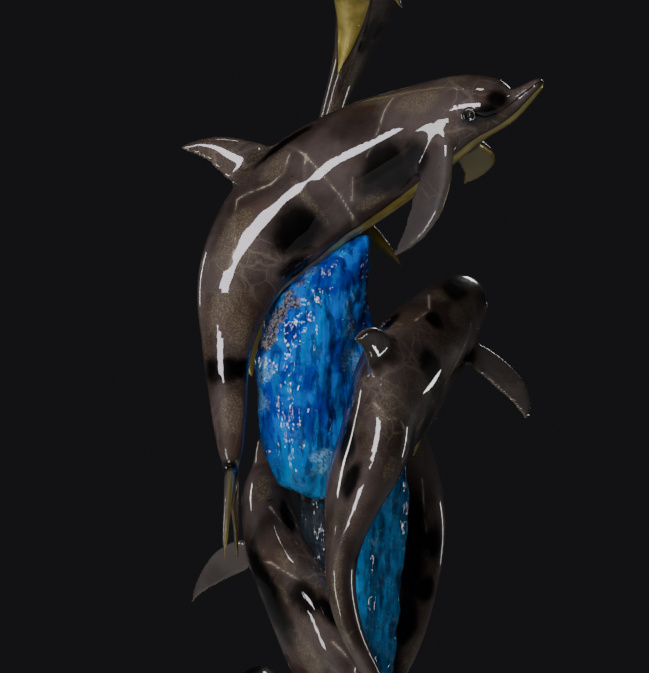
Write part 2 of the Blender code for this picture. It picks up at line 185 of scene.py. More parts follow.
dolphinSizes = {
    "voxel": 0.0023,          # grain of the fused mesh
    "quickVoxel": 0.004,
    "bodySides": 64,
    "bodyRings": 150,
    "noseRings": 70,          # the first share of the body has finer rings
    "noseShare": 0.12,
    "meanReach": 1.42,        # divides the two half widths' diagonal into a mean
    "pull": 0.5,              # each round of smoothing, and what gives the volume back
    "push": -0.52,
    "relaxRounds": 6,
    "leastRelax": 2,
    "filletRounds": 26,
    "leastFillet": 6,
    "filletReach": 0.013,     # how far a fin's root is blended
    "filletFade": 0.6,
    "headShare": 0.17,        # the head is meshed twice as fine
    "headReach": 1.3,         # out to this share of the skin's mean reach
    "boxInset": 0.0008,       # kept free inside the CAD model's box
    "beadRadius": 0.0006,
    "beadDensity": 9000.0,    # to the square metre, where the beads are thickest
    "thinnestSpray": 0.03,    # share of that density on the rest of the skin
}
finSizes = {
    "edge": 0.0015,           # half thickness of a cast fin's edge
    "rings": 56,
    "flukeRings": 91,
    "chordSamples": 23,
    "dorsalRoot": 9,          # hundredths of the length above the middle line
    "pectoralRoot": (5.7, 6.8),   # sideways and down
    "pectoralTurn": 0.24,     # half turns below the flank
    "dorsalReach": 0.14,      # metres round the root that hold the whole fin
    "pectoralReach": 0.13,
    "flukeReach": 0.12,
    "searchReach": 0.03,
    "skinStart": 0.9,         # share of the mean reach where a fin may begin
    "bodyFade": (0.001, 0.012),
    "finFade": (0.003, 0.006),
    "dorsalTint": 0.15,
    "rimFade": (0.25, 0.75),
    "underFade": (0.05, 0.40),
}
faceSizes = {
    "mouthDepth": 0.0007,
    "mouthWidth": 0.0013,
    "mouthStart": 0.012,      # share of the length where the line is at its full depth
    "eyeAt": (0.120, 8.0),    # share of the length, degrees below the flank
    "eyeRadius": 0.0042,
    "eyeSides": 24,
    "eyeRings": 16,
    "eyeSunk": 0.0032,        # how far the ball's middle lies under the skin
    "eyeFade": (0.0040, 0.0058),
    "lidHeight": 0.0008,
    "lidRadius": 0.0056,
    "lidWidth": 0.0014,
    "socketDepth": 0.0010,
    "socketWidth": 0.0038,
    "blowholeAt": 0.150,
    "blowholeDepth": 0.0012,
    "blowholeWidth": 0.0011,
    "blowholeCurve": 0.35,    # how far its ends sweep back
    "blowholeFade": (0.003, 0.0055),
}
spotFade = (0.25, 1.5)        # shares of a spot's size where it starts and ends to fade
veinSizes = {"samples": 60, "reach": 0.02}
beadScales = (0.35, 1.3)

# Half thickness of a fin across its chord, from the leading edge, as shares of the thickest
finProfile = (
    (0.0, 0.4), (0.08, 0.78), (0.2, 0.96), (0.4, 1.0), (0.62, 0.84), (0.85, 0.45), (1.0, 0.22),
)

# Half width of the gold belly in degrees from its middle, at shares of the length, and
# each dolphin's share of that width
bellyTable = (
    (0.0, 82.0), (0.03, 78.0), (0.07, 66.0), (0.10, 58.0), (0.16, 52.0), (0.30, 48.0),
    (0.50, 45.0), (0.58, 38.0), (0.66, 24.0), (0.72, 3.0), (0.80, -25.0), (1.0, -60.0),
)
goldWidths = {
    "upper_dolphin": 0.46, "right_dolphin": 0.50, "left_dolphin": 0.60,
    "back_dolphin": 0.70, "top_dolphin": 1.0, "lower_dolphin": 0.70,
}
# The mouth line, in degrees from the belly's middle
mouthTable = ((0.0, 92.0), (0.02, 88.0), (0.05, 80.0), (0.075, 72.0), (0.095, 72.0), (0.108, 82.0))

# Black blotches, and painted shade where noted: share of the length, degrees round (0 right
# flank, 90 back, 180 left flank), half length and half width in metres
blotchesAndShade = {
    "upper_dolphin": (
        (0.300, -29, 0.040, 0.025), (0.245, -34, 0.020, 0.016), (0.516, -24, 0.034, 0.020),
        (0.794, 10, 0.013, 0.026), (0.794, -60, 0.013, 0.018), (0.575, -60, 0.028, 0.014),
        (0.094, -9, 0.014, 0.010), (0.120, -14, 0.014, 0.010), (0.075, 18, 0.012, 0.010),
        (0.970, -10, 0.020, 0.016), (0.36, 130, 0.034, 0.022), (0.62, 165, 0.030, 0.018),
        (0.44, 62, 0.030, 0.008), (0.20, 170, 0.022, 0.016),
    ),
    "right_dolphin": (
        (0.180, 54, 0.024, 0.016), (0.112, 14, 0.010, 0.012), (0.383, 20, 0.018, 0.017),
        (0.390, -6, 0.020, 0.012), (0.470, 150, 0.026, 0.010), (0.555, 160, 0.026, 0.010),
        (0.345, 100, 0.016, 0.012), (0.300, 48, 0.010, 0.010), (0.62, 140, 0.018, 0.010),
        (0.26, -40, 0.024, 0.016), (0.450, -10, 0.030, 0.012), (0.516, 30, 0.020, 0.010),
        (0.55, -40, 0.030, 0.014), (0.74, -20, 0.02, 0.01),
    ),
    "left_dolphin": (
        (0.290, 150, 0.042, 0.015), (0.345, 160, 0.036, 0.015), (0.362, 108, 0.022, 0.019),
        (0.395, 92, 0.018, 0.013), (0.190, 60, 0.022, 0.010), (0.56, 80, 0.030, 0.016),
        (0.74, 100, 0.026, 0.012), (0.48, 20, 0.030, 0.018), (0.34, -30, 0.026, 0.016),
    ),
    # its first three, long and dark down the left flank, are painted shade on that flank
    "back_dolphin": (
        (0.690, -163, 0.040, 0.010), (0.770, -150, 0.040, 0.010), (0.855, -148, 0.030, 0.010),
        (0.800, 160, 0.014, 0.010), (0.720, 150, 0.016, 0.012), (0.30, 60, 0.034, 0.020),
        (0.48, 30, 0.030, 0.018), (0.20, 120, 0.024, 0.016), (0.42, 150, 0.026, 0.014),
    ),
    "top_dolphin": (
        (0.618, -148, 0.020, 0.010), (0.655, -143, 0.012, 0.008), (0.42, 40, 0.034, 0.020),
        (0.30, 100, 0.026, 0.016), (0.30, 0, 0.026, 0.016), (0.12, 20, 0.014, 0.010),
        (0.52, 130, 0.030, 0.016), (0.80, 90, 0.016, 0.012),
    ),
    "lower_dolphin": (
        (0.120, 90, 0.026, 0.016), (0.250, 60, 0.030, 0.018), (0.44, 80, 0.034, 0.020),
        (0.36, 160, 0.024, 0.016), (0.62, 40, 0.026, 0.014), (0.80, 90, 0.018, 0.012),
    ),
}
# Pale, speckled places, given the same way, partly painted sheen on the upper dolphin
paleSpotsAndSheen = {
    # its first six, on the low back and the shoulder, are painted sheen as well as speckle
    "upper_dolphin": (
        (0.600, 24, 0.040, 0.018), (0.690, 10, 0.034, 0.016), (0.720, -20, 0.030, 0.012),
        (0.200, 36, 0.026, 0.014), (0.260, 60, 0.034, 0.012), (0.150, 70, 0.020, 0.012),
        (0.463, -20, 0.008, 0.024), (0.350, -46, 0.030, 0.010), (0.860, -20, 0.026, 0.012),
        (0.47, 40, 0.020, 0.012), (0.50, 120, 0.034, 0.020), (0.30, 160, 0.030, 0.016),
    ),
    "right_dolphin": (
        (0.242, 24, 0.022, 0.014), (0.483, 84, 0.022, 0.014), (0.510, 106, 0.020, 0.012),
        (0.481, 62, 0.018, 0.014), (0.586, 80, 0.020, 0.012), (0.190, 24, 0.022, 0.016),
        (0.150, 40, 0.016, 0.012), (0.850, 130, 0.040, 0.014),
        (0.780, 90, 0.030, 0.012), (0.640, 30, 0.030, 0.010), (0.23, 66, 0.018, 0.012),
    ),
    "left_dolphin": (
        (0.282, 96, 0.018, 0.014), (0.328, 132, 0.022, 0.006), (0.440, 150, 0.030, 0.012),
        (0.120, 100, 0.020, 0.014), (0.62, 120, 0.034, 0.014), (0.42, 60, 0.026, 0.014),
    ),
    "back_dolphin": (
        (0.560, 168, 0.034, 0.012), (0.900, 138, 0.020, 0.012), (0.36, 100, 0.034, 0.018),
        (0.24, 40, 0.024, 0.014), (0.60, 100, 0.030, 0.014),
    ),
    "top_dolphin": (
        (0.720, -150, 0.034, 0.014), (0.800, -120, 0.030, 0.014), (0.50, 90, 0.034, 0.018),
        (0.36, 150, 0.026, 0.014), (0.20, 70, 0.022, 0.014),
    ),
    "lower_dolphin": (
        (0.330, 110, 0.030, 0.016), (0.54, 100, 0.034, 0.016), (0.20, 30, 0.022, 0.012),
        (0.70, 60, 0.026, 0.012),
    ),
}
# Where small beads of lacquer gather, given the same way
beadSpots = {
    "upper_dolphin": (
        (0.040, 10, 0.020, 0.010), (0.190, -46, 0.014, 0.010),
        (0.480, 30, 0.020, 0.014), (0.560, 40, 0.026, 0.014), (0.94, 0, 0.020, 0.010),
    ),
    "right_dolphin": (
        (0.270, 10, 0.018, 0.014), (0.300, 46, 0.016, 0.010), (0.500, 122, 0.034, 0.010),
        (0.600, -4, 0.026, 0.008), (0.340, 108, 0.016, 0.010), (0.79, 110, 0.030, 0.010),
    ),
    "left_dolphin": (
        (0.370, 104, 0.022, 0.018), (0.200, 60, 0.016, 0.010), (0.460, 60, 0.026, 0.012),
    ),
    "back_dolphin": ((0.580, 140, 0.020, 0.010), (0.900, -170, 0.020, 0.010)),
    "top_dolphin": ((0.64, -120, 0.020, 0.010), (0.08, 40, 0.016, 0.010)),
    "lower_dolphin": ((0.08, 60, 0.020, 0.012), (0.30, 90, 0.020, 0.012)),
}
# Cream veins as paths of share and degrees round
veinPaths = {
    "upper_dolphin": (
        ((0.437, 51), (0.422, 28), (0.409, -2), (0.400, -23), (0.401, -48), (0.412, -70)),
        ((0.246, 51), (0.277, 17), (0.302, 1), (0.322, -6)),
        ((0.541, 49), (0.512, 34), (0.492, 27), (0.461, 26), (0.440, 40)),
        ((0.541, 49), (0.573, 32), (0.600, 18), (0.640, 14)),
        ((0.468, 82), (0.450, 77), (0.437, 51)),
        ((0.420, 28), (0.44, 10), (0.452, 2)),
        ((0.386, -34), (0.37, -22), (0.36, -14)),
        ((0.30, 150), (0.35, 120), (0.42, 130), (0.50, 160)), ((0.56, 130), (0.60, 90)),
    ),
    "right_dolphin": (
        ((0.350, 112), (0.370, 97), (0.391, 60), (0.402, 42), (0.416, 26)),
        ((0.500, 110), (0.520, 92), (0.510, 70), (0.530, 50)),
        ((0.215, 2), (0.23, -5), (0.276, -10), (0.327, -12), (0.386, -10), (0.44, -1), (0.50, 23),
         (0.56, 55)),
        ((0.24, 80), (0.29, 60), (0.33, 66)),
    ),
    "left_dolphin": (
        ((0.167, 92), (0.195, 80), (0.223, 66)), ((0.24, 150), (0.27, 120), (0.33, 100)),
        ((0.44, 110), (0.50, 90), (0.56, 110)), ((0.30, 40), (0.40, 20), (0.47, 40)),
    ),
    "back_dolphin": (
        ((0.26, 30), (0.33, 60), (0.36, 100), (0.42, 120)), ((0.50, 130), (0.56, 100), (0.62, 90)),
        ((0.62, 170), (0.68, 175), (0.74, 165)),
    ),
    "top_dolphin": (
        ((0.26, 30), (0.33, 60), (0.36, 100), (0.42, 120)), ((0.50, 130), (0.56, 100), (0.62, 60)),
    ),
    "lower_dolphin": (
        ((0.22, 60), (0.30, 90), (0.34, 130)), ((0.42, 60), (0.50, 90), (0.58, 80)),
    ),
}


def smoothTable(table, at):
    # a cubic through the table's rows that never overshoots them
    rows = np.array(table, float)
    x, y = rows[:, 0], rows[:, 1:]
    gap = np.diff(x)[:, None]
    slope = np.diff(y, axis=0) / gap
    tangent = np.zeros_like(y)
    tangent[0], tangent[-1] = slope[0], slope[-1]
    before, after = slope[:-1], slope[1:]
    nearWeight, farWeight = 2 * gap[1:] + gap[:-1], gap[1:] + 2 * gap[:-1]
    rising = before * after > 0
    safeBefore, safeAfter = np.where(rising, before, 1.0), np.where(rising, after, 1.0)
    mean = (nearWeight + farWeight) / (nearWeight / safeBefore + farWeight / safeAfter)
    tangent[1:-1] = np.where(rising, mean, 0.0)
    at = np.clip(np.asarray(at, float), x[0], x[-1])
    i = np.clip(np.searchsorted(x, at, side="right") - 1, 0, len(x) - 2)
    h = gap[i]
    t = (at[:, None] - x[i][:, None]) / h
    return (
        (1 + 2 * t) * (1 - t) ** 2 * y[i] + t * (1 - t) ** 2 * h * tangent[i]
        + t ** 2 * (3 - 2 * t) * y[i + 1] + t ** 2 * (t - 1) * h * tangent[i + 1]
    )


def unit(ways):
    return ways / np.maximum(np.linalg.norm(ways, axis=-1, keepdims=True), 1e-12)


def ease(value, low, high):
    t = np.clip((value - low) / (high - low), 0, 1)
    return t * t * (3 - 2 * t)


def readAlong(positions, values, at):
    return np.stack([np.interp(at, positions, values[:, k]) for k in range(values.shape[1])], -1)


def middleLine(pose):
    lift = np.array((0.0, 0.0, groupSizes["plinthTop"]))
    points = np.array(pose["line"]) * groupSizes["step"] + lift
    ends = np.vstack([2 * points[0] - points[1], points, 2 * points[-1] - points[-2]])
    t = np.linspace(0, 1, groupSizes["spanSamples"], endpoint=False)[:, None]
    spans = []
    for a, b, c, d in zip(ends, ends[1:], ends[2:], ends[3:]):
        bend = (2 * a - 5 * b + 4 * c - d) * t ** 2 + (3 * b - a - 3 * c + d) * t ** 3
        spans.append(0.5 * (2 * b + (c - a) * t + bend))
    path = np.vstack(spans + [points[-1:]])
    run = np.concatenate([[0.0], np.cumsum(np.linalg.norm(np.diff(path, axis=0), axis=1))])
    length = run[-1]
    share = np.linspace(0, 1, groupSizes["lineSamples"])
    reach = groupSizes["headingReach"]
    ahead, behind = np.clip(share - reach, 0, 1), np.clip(share + reach, 0, 1)
    head = unit(readAlong(run, path, ahead * length) - readAlong(run, path, behind * length))
    backShares = [row[0] for row in pose["backs"]]
    back = readAlong(backShares, unit(np.array([row[1] for row in pose["backs"]])), share)
    extra = groupSizes["evenSamples"]
    padded = np.vstack([back[:1]] * extra + [back] + [back[-1:]] * extra)
    window = np.ones(2 * extra + 1) / (2 * extra + 1)
    back = np.stack([np.convolve(padded[:, k], window, mode="valid") for k in range(3)], 1)
    back = unit(back - head * (back * head).sum(1, keepdims=True))
    return {
        "share": share, "length": length, "hundredth": length / 100,
        "centre": readAlong(run, path, share * length),
        "head": head, "back": back, "right": np.cross(head, back),
    }


def axesAt(line, share):
    share = np.atleast_1d(share)
    centre = readAlong(line["share"], line["centre"], share)
    head = unit(readAlong(line["share"], line["head"], share))
    back = unit(readAlong(line["share"], line["back"], share))
    return centre, head, back, unit(np.cross(head, back))


def loftShell(rings):
    # points and faces of a closed skin through rings of equal count
    rings = np.array(rings)
    count, sides = rings.shape[:2]
    faces = [list(range(sides))[::-1]]
    for row in range(count - 1):
        low, high = row * sides, (row + 1) * sides
        for k in range(sides):
            following = (k + 1) % sides
            faces.append([low + k, low + following, high + following, high + k])
    faces.append([(count - 1) * sides + k for k in range(sides)])
    return rings.reshape(-1, 3), faces


def bodyShell(line):
    sizes = dolphinSizes
    shares = np.concatenate([
        np.linspace(0, sizes["noseShare"], sizes["noseRings"])[:-1],
        np.linspace(sizes["noseShare"], bodyTable[-1][0], sizes["bodyRings"]),
    ])
    centre, head, back, right = axesAt(line, shares)
    up, down, flank = smoothTable(bodyTable, shares).T * line["hundredth"]
    rings = []
    for angle in np.linspace(0, math.tau, sizes["bodySides"], endpoint=False):
        rise = up if math.sin(angle) > 0 else down
        across, upwards = flank * math.cos(angle), rise * math.sin(angle)
        rings.append(centre + right * across[:, None] + back * upwards[:, None])
    return loftShell(np.array(rings).transpose(1, 0, 2))


def finShell(table, root, out, forward, hundredth, mirrored=False):
    face = unit(np.cross(out, forward))
    edge = finSizes["edge"]
    start, end = -table[-1][0] if mirrored else table[0][0], table[-1][0]
    reaches = np.linspace(start, end, finSizes["flukeRings" if mirrored else "rings"])
    rows = smoothTable(table, np.abs(reaches) if mirrored else reaches) * hundredth
    chordShares = 0.5 - 0.5 * np.cos(np.linspace(0, math.pi, finSizes["chordSamples"]))
    profile = np.interp(chordShares, *zip(*finProfile))
    rings = []
    for reach, (lead, trail, thick) in zip(reaches * hundredth, rows):
        chord = abs(lead - trail)
        half = np.maximum(profile * thick, edge)
        inset = np.minimum(chordShares, 1 - chordShares) * chord
        half = half * np.sqrt(np.clip(1 - (1 - np.minimum(inset / edge, 1)) ** 2, 0, 1))
        place = root + out * reach + forward * (lead + (trail - lead) * chordShares)[:, None]
        upper = place + face * half[:, None]
        lower = place - face * half[:, None]
        rings.append(np.vstack([upper, lower[-2:0:-1]]))
    return loftShell(rings)


def finParts(line, pose):
    # each fin: its shell, its root, its flat side's way and the way that its underside faces
    hundredth = line["hundredth"]
    parts = []
    centre, head, back, right = [a[0] for a in axesAt(line, pose["dorsalAt"])]
    parts.append({
        "shell": finShell(dorsalTable, centre, back, head, hundredth),
        "root": centre + back * finSizes["dorsalRoot"] * hundredth,
        "reach": finSizes["dorsalReach"], "face": right, "under": None,
    })
    sideReach, downReach = finSizes["pectoralRoot"]
    flankAngle = finSizes["pectoralTurn"] * math.pi
    for hand, lean in ((1, pose["rightLean"]), (-1, pose["leftLean"])):
        centre, head, back, right = [a[0] for a in axesAt(line, pose["pectoralAt"])]
        sideways, down, aft = lean
        out = unit(right * hand * sideways - back * down - head * aft)
        forward = unit(head - out * (head @ out))
        root = centre + hundredth * (
            right * hand * sideReach * math.cos(flankAngle) - back * downReach * math.sin(flankAngle)
        )
        face = unit(np.cross(out, forward))
        inward = -back - right * hand
        parts.append({
            "shell": finShell(pectoralTable, root, out, forward, hundredth),
            "root": root, "reach": finSizes["pectoralReach"], "face": face,
            "under": face if face @ inward > 0 else -face,
        })
    centre, head, back, right = [a[0] for a in axesAt(line, 1.0)]
    parts.append({
        "shell": finShell(flukeTable, centre, right, head, hundredth, mirrored=True),
        "root": centre, "reach": finSizes["flukeReach"], "face": back, "under": -back,
    })
    return parts


def meshFromShells(name, shells):
    points, faces, shift = [], [], 0
    for shellPoints, shellFaces in shells:
        points.append(shellPoints)
        faces += [[i + shift for i in face] for face in shellFaces]
        shift += len(shellPoints)
    mesh = bpy.data.meshes.new(name)
    mesh.from_pydata(np.vstack(points).tolist(), [], faces)
    work = bmesh.new()
    work.from_mesh(mesh)
    bmesh.ops.remove_doubles(work, verts=work.verts, dist=groupSizes["mergeGap"])
    bmesh.ops.recalc_face_normals(work, faces=work.faces)
    work.to_mesh(mesh)
    work.free()
    return mesh


def fuse(name, shells, voxel):
    # one closed skin round overlapping shells
    source = bpy.data.objects.new(name + "Shells", meshFromShells(name + "Shells", shells))
    bpy.context.scene.collection.objects.link(source)
    remesh = source.modifiers.new("fuse", "REMESH")
    remesh.mode = "VOXEL"
    remesh.voxel_size = voxel
    depsgraph = bpy.context.evaluated_depsgraph_get()
    mesh = bpy.data.meshes.new_from_object(source.evaluated_get(depsgraph))
    mesh.name = name
    bpy.data.objects.remove(source)
    return mesh


def readPoints(mesh):
    points = np.empty(len(mesh.vertices) * 3)
    mesh.vertices.foreach_get("co", points)
    return points.reshape(-1, 3)


def writePoints(mesh, points):
    mesh.vertices.foreach_set("co", np.asarray(points, np.float32).ravel())
    mesh.update()


def readNormals(mesh):
    normals = np.empty(len(mesh.vertices) * 3)
    mesh.vertex_normals.foreach_get("vector", normals)
    return normals.reshape(-1, 3)


def readEdges(mesh):
    edges = np.empty(len(mesh.edges) * 2, np.int64)
    mesh.edges.foreach_get("vertices", edges)
    return edges.reshape(-1, 2)


def relax(points, edges, rounds, pull, push=0.0, weight=None):
    # moves points towards their neighbours' middle; push gives the volume back
    count = len(points)
    ends = np.concatenate([edges[:, 0], edges[:, 1]])
    others = np.concatenate([edges[:, 1], edges[:, 0]])
    links = np.maximum(np.bincount(ends, minlength=count), 1)[:, None]
    share = 1.0 if weight is None else weight[:, None]
    for _ in range(rounds):
        for amount in ((pull, push) if push else (pull,)):
            middle = np.stack(
                [np.bincount(ends, weights=points[others, k], minlength=count) for k in range(3)], 1
            ) / links
            points = points + (middle - points) * amount * share
    return points


def shellTree(shell):
    points, faces = shell
    return BVHTree.FromPolygons(points.tolist(), faces)


def distances(tree, points, chosen, reach):
    found = np.full(len(points), reach)
    for i in np.nonzero(chosen)[0]:
        hit = tree.find_nearest(points[i], reach)
        if hit[0] is not None:
            found[i] = hit[3]
    return found


def bodyFacts(line, points):
    # where each point lies along and round the body
    nearest = np.empty(len(points), int)
    chunkSize = 4000   # keeps the table of gaps small
    for start in range(0, len(points), chunkSize):
        chunk = points[start:start + chunkSize]
        gaps = ((chunk[:, None, :] - line["centre"][None]) ** 2).sum(2)
        nearest[start:start + chunkSize] = gaps.argmin(1)
    offset = points - line["centre"][nearest]
    ahead = (offset * line["head"][nearest]).sum(1)
    share = np.clip(line["share"][nearest] - ahead / line["length"], 0, 1)
    centre, head, back, right = axesAt(line, share)
    offset = points - centre
    rise, side = (offset * back).sum(1), (offset * right).sum(1)
    up, down, flank = smoothTable(bodyTable, share).T * line["hundredth"]
    turn = np.degrees(np.arctan2(rise / np.where(rise > 0, up, down), side / flank))
    fromBelly = np.abs((turn + 90 + 180) % 360 - 180)
    return {
        "share": share, "turn": turn, "fromBelly": fromBelly, "radius": np.hypot(rise, side),
        "reach": np.hypot(flank, np.maximum(up, down)) / dolphinSizes["meanReach"],
    }


def refineHead(mesh, line):
    # halves the mesh on the head, for the mouth, the eyes and the blowhole
    facts = bodyFacts(line, readPoints(mesh))
    skin = facts["reach"] * dolphinSizes["headReach"]
    inHead = (facts["share"] < dolphinSizes["headShare"]) & (facts["radius"] < skin)
    work = bmesh.new()
    work.from_mesh(mesh)
    work.verts.ensure_lookup_table()
    edges = [e for e in work.edges if inHead[e.verts[0].index] and inHead[e.verts[1].index]]
    bmesh.ops.subdivide_edges(work, edges=edges, cuts=1, use_grid_fill=True, smooth=0.0)
    bmesh.ops.triangulate(work, faces=[f for f in work.faces if len(f.verts) > 4])
    work.to_mesh(mesh)
    work.free()


def eyeSpots(line):
    # each eye's place on the skin and the way that it looks
    share, below = faceSizes["eyeAt"]
    centre, head, back, right = [a[0] for a in axesAt(line, share)]
    up, down, flank = smoothTable(bodyTable, np.array([share]))[0] * line["hundredth"]
    angle = math.radians(below)
    spots = []
    for hand in (1, -1):
        spot = centre + right * hand * flank * math.cos(angle) - back * down * math.sin(angle)
        way = unit(right * hand * math.cos(angle) / flank - back * math.sin(angle) / down)
        spots.append((spot, way))
    return spots


def spotMask(spots, line, facts):
    # soft ovals on the skin, each with its own place and size
    mask = np.zeros(len(facts["share"]))
    for share, turn, longHalf, wideHalf in spots:
        ahead = (facts["share"] - share) * line["length"] / longHalf
        angle = np.radians((facts["turn"] - turn + 180) % 360 - 180)
        away = np.hypot(ahead, angle * facts["radius"] / wideHalf)
        mask = np.maximum(mask, 1 - ease(away, *spotFade))
    return mask


def veinGap(paths, line, points):
    # how far each point is from the nearest vein's middle, in metres
    places = []
    for path in paths:
        rows = np.array(path, float)
        along = np.linspace(0, 1, veinSizes["samples"] * (len(rows) - 1))
        steps = np.linspace(0, 1, len(rows))
        share = np.interp(along, steps, rows[:, 0])
        angle = np.radians(np.interp(along, steps, rows[:, 1]))
        centre, head, back, right = axesAt(line, share)
        up, down, flank = smoothTable(bodyTable, share).T * line["hundredth"]
        rise = np.where(np.sin(angle) > 0, up, down)
        across, upwards = flank * np.cos(angle), rise * np.sin(angle)
        places.append(centre + right * across[:, None] + back * upwards[:, None])
    places = np.vstack(places)
    tree = kdtree.KDTree(len(places))
    for i, place in enumerate(places):
        tree.insert(place, i)
    tree.balance()
    return np.array([min(tree.find(point)[2], veinSizes["reach"]) for point in points])


def setAttribute(mesh, name, values):
    layer = mesh.attributes.get(name) or mesh.attributes.new(name, "FLOAT", "POINT")
    layer.data.foreach_set("value", np.asarray(values, np.float32))


def addNode(tree, kind, values=None, **settings):
    # a shader node; a value may be a number, a colour or another node's socket
    made = tree.nodes.new(kind)
    for name, value in settings.items():
        setattr(made, name, value)
    for socket, value in (values or {}).items():
        if isinstance(value, bpy.types.NodeSocket):
            tree.links.new(value, made.inputs[socket])
        else:
            made.inputs[socket].default_value = value
    return made


def maths(tree, operation, first, second=0.0, clamp=False):
    made = addNode(tree, "ShaderNodeMath", {0: first, 1: second}, operation=operation)
    made.use_clamp = clamp
    return made.outputs[0]


def beadTree(material):
    # beads of lacquer scattered over the skin and sunk halfway into it
    tree = bpy.data.node_groups.new("lacquerBeads", "GeometryNodeTree")
    tree.interface.new_socket(name="Geometry", in_out="INPUT", socket_type="NodeSocketGeometry")
    sockets = {}
    for label, kind, value in (
        ("Radius", "NodeSocketFloat", 0.001),
        ("Density", "NodeSocketFloat", 1000.0),
        ("Seed", "NodeSocketInt", 7),
    ):
        socket = tree.interface.new_socket(name=label, in_out="INPUT", socket_type=kind)
        socket.default_value = value
        sockets[label] = socket.identifier
    tree.interface.new_socket(name="Geometry", in_out="OUTPUT", socket_type="NodeSocketGeometry")
    given, result = tree.nodes.new("NodeGroupInput").outputs, tree.nodes.new("NodeGroupOutput").inputs
    spray = addNode(tree, "GeometryNodeInputNamedAttribute", {"Name": "spray"}, data_type="FLOAT")
    amount = maths(tree, "MULTIPLY", spray.outputs["Attribute"], given["Density"])
    scatter = addNode(
        tree, "GeometryNodeDistributePointsOnFaces",
        {"Mesh": given["Geometry"], "Density": amount, "Seed": given["Seed"]},
        distribute_method="RANDOM",
    )
    ball = addNode(tree, "GeometryNodeMeshIcoSphere", {"Radius": given["Radius"], "Subdivisions": 2})
    smallest, largest = beadScales
    size = addNode(
        tree, "FunctionNodeRandomValue", {2: smallest, 3: largest, "Seed": given["Seed"]},
        data_type="FLOAT",
    )
    placed = addNode(
        tree, "GeometryNodeInstanceOnPoints",
        {"Points": scatter.outputs["Points"], "Instance": ball.outputs["Mesh"],
         "Scale": size.outputs[1]},
    )
    real = addNode(tree, "GeometryNodeRealizeInstances", {"Geometry": placed.outputs["Instances"]})
    both = tree.nodes.new("GeometryNodeJoinGeometry")
    tree.links.new(given["Geometry"], both.inputs[0])
    tree.links.new(real.outputs[0], both.inputs[0])
    smooth = addNode(tree, "GeometryNodeSetShadeSmooth", {"Geometry": both.outputs[0]})
    painted = addNode(tree, "GeometryNodeSetMaterial", {"Geometry": smooth.outputs[0]})
    painted.inputs["Material"].default_value = material
    tree.links.new(painted.outputs[0], result[0])
    return tree, sockets


def addBeads(piece, material, radius, density, seed):
    tree, sockets = beadTree(material)
    beads = piece.modifiers.new("beads", "NODES")
    beads.node_group = tree
    beads[sockets["Radius"]] = radius
    beads[sockets["Density"]] = density
    beads[sockets["Seed"]] = seed
    depsgraph = bpy.context.evaluated_depsgraph_get()
    beaded = bpy.data.meshes.new_from_object(piece.evaluated_get(depsgraph))
    piece.modifiers.remove(beads)
    beaded.name = piece.data.name
    piece.data = beaded


def seamMask(fins, bodyTree, points):
    # 1 where a fin meets the body, fading over the fillet's reach
    reach, search = dolphinSizes["filletReach"], finSizes["searchReach"]
    seam = np.zeros(len(points))
    for fin in fins:
        close = np.linalg.norm(points - fin["root"], axis=1) < fin["reach"]
        gap = distances(shellTree(fin["shell"]), points, close, search)
        near = close & (gap < reach)
        bodyGap = distances(bodyTree, points, near, search)
        seam = np.maximum(seam, np.where(near, 1 - np.maximum(gap, bodyGap) / reach, 0))
    return seam


def smoothSkin(mesh, line, fins, bodyTree, voxel):
    # evens the remeshed skin, blends the fins' roots and refines the head
    sizes = dolphinSizes
    pull, push = sizes["pull"], sizes["push"]
    points, edges = readPoints(mesh), readEdges(mesh)
    seam = seamMask(fins, bodyTree, points)
    scale = (sizes["voxel"] / voxel) ** 2
    rounds = max(sizes["leastRelax"], round(sizes["relaxRounds"] * scale))
    points = relax(points, edges, rounds, pull, push)
    rounds = max(sizes["leastFillet"], round(sizes["filletRounds"] * scale))
    points = relax(points, edges, rounds, pull, weight=ease(seam, 0.0, sizes["filletFade"]))
    writePoints(mesh, points)
    refineHead(mesh, line)
    points = relax(readPoints(mesh), readEdges(mesh), sizes["leastRelax"], pull, push)
    writePoints(mesh, points)
    return points


def finMasks(fins, bodyTree, points, normals, facts):
    # how far each point is on a fin, how smoky it is there, on the gilt side and on the rim
    onFin, finTint, under, rim = np.zeros((4, len(points)))
    beyond = facts["radius"] > facts["reach"] * finSizes["skinStart"]
    bodyGap = distances(bodyTree, points, beyond, finSizes["searchReach"])
    fadeStart, fadeEnd = finSizes["finFade"]
    for fin in fins:
        close = np.linalg.norm(points - fin["root"], axis=1) < fin["reach"]
        gap = distances(shellTree(fin["shell"]), points, close, fadeEnd)
        onThis = ease(bodyGap, *finSizes["bodyFade"]) * (1 - ease(gap, fadeStart, fadeEnd))
        mask = np.where(close, onThis, 0)
        onFin = np.maximum(onFin, mask)
        tint = finSizes["dorsalTint"] if fin["under"] is None else 1.0
        finTint = np.maximum(finTint, mask * tint)
        flat = np.abs(normals @ fin["face"])
        rim = np.maximum(rim, mask * (1 - ease(flat, *finSizes["rimFade"])))
        if fin["under"] is not None:
            under = np.maximum(under, mask * ease(normals @ fin["under"], *finSizes["underFade"]))
    return {"onFin": onFin, "finTint": finTint, "under": under, "rim": rim}


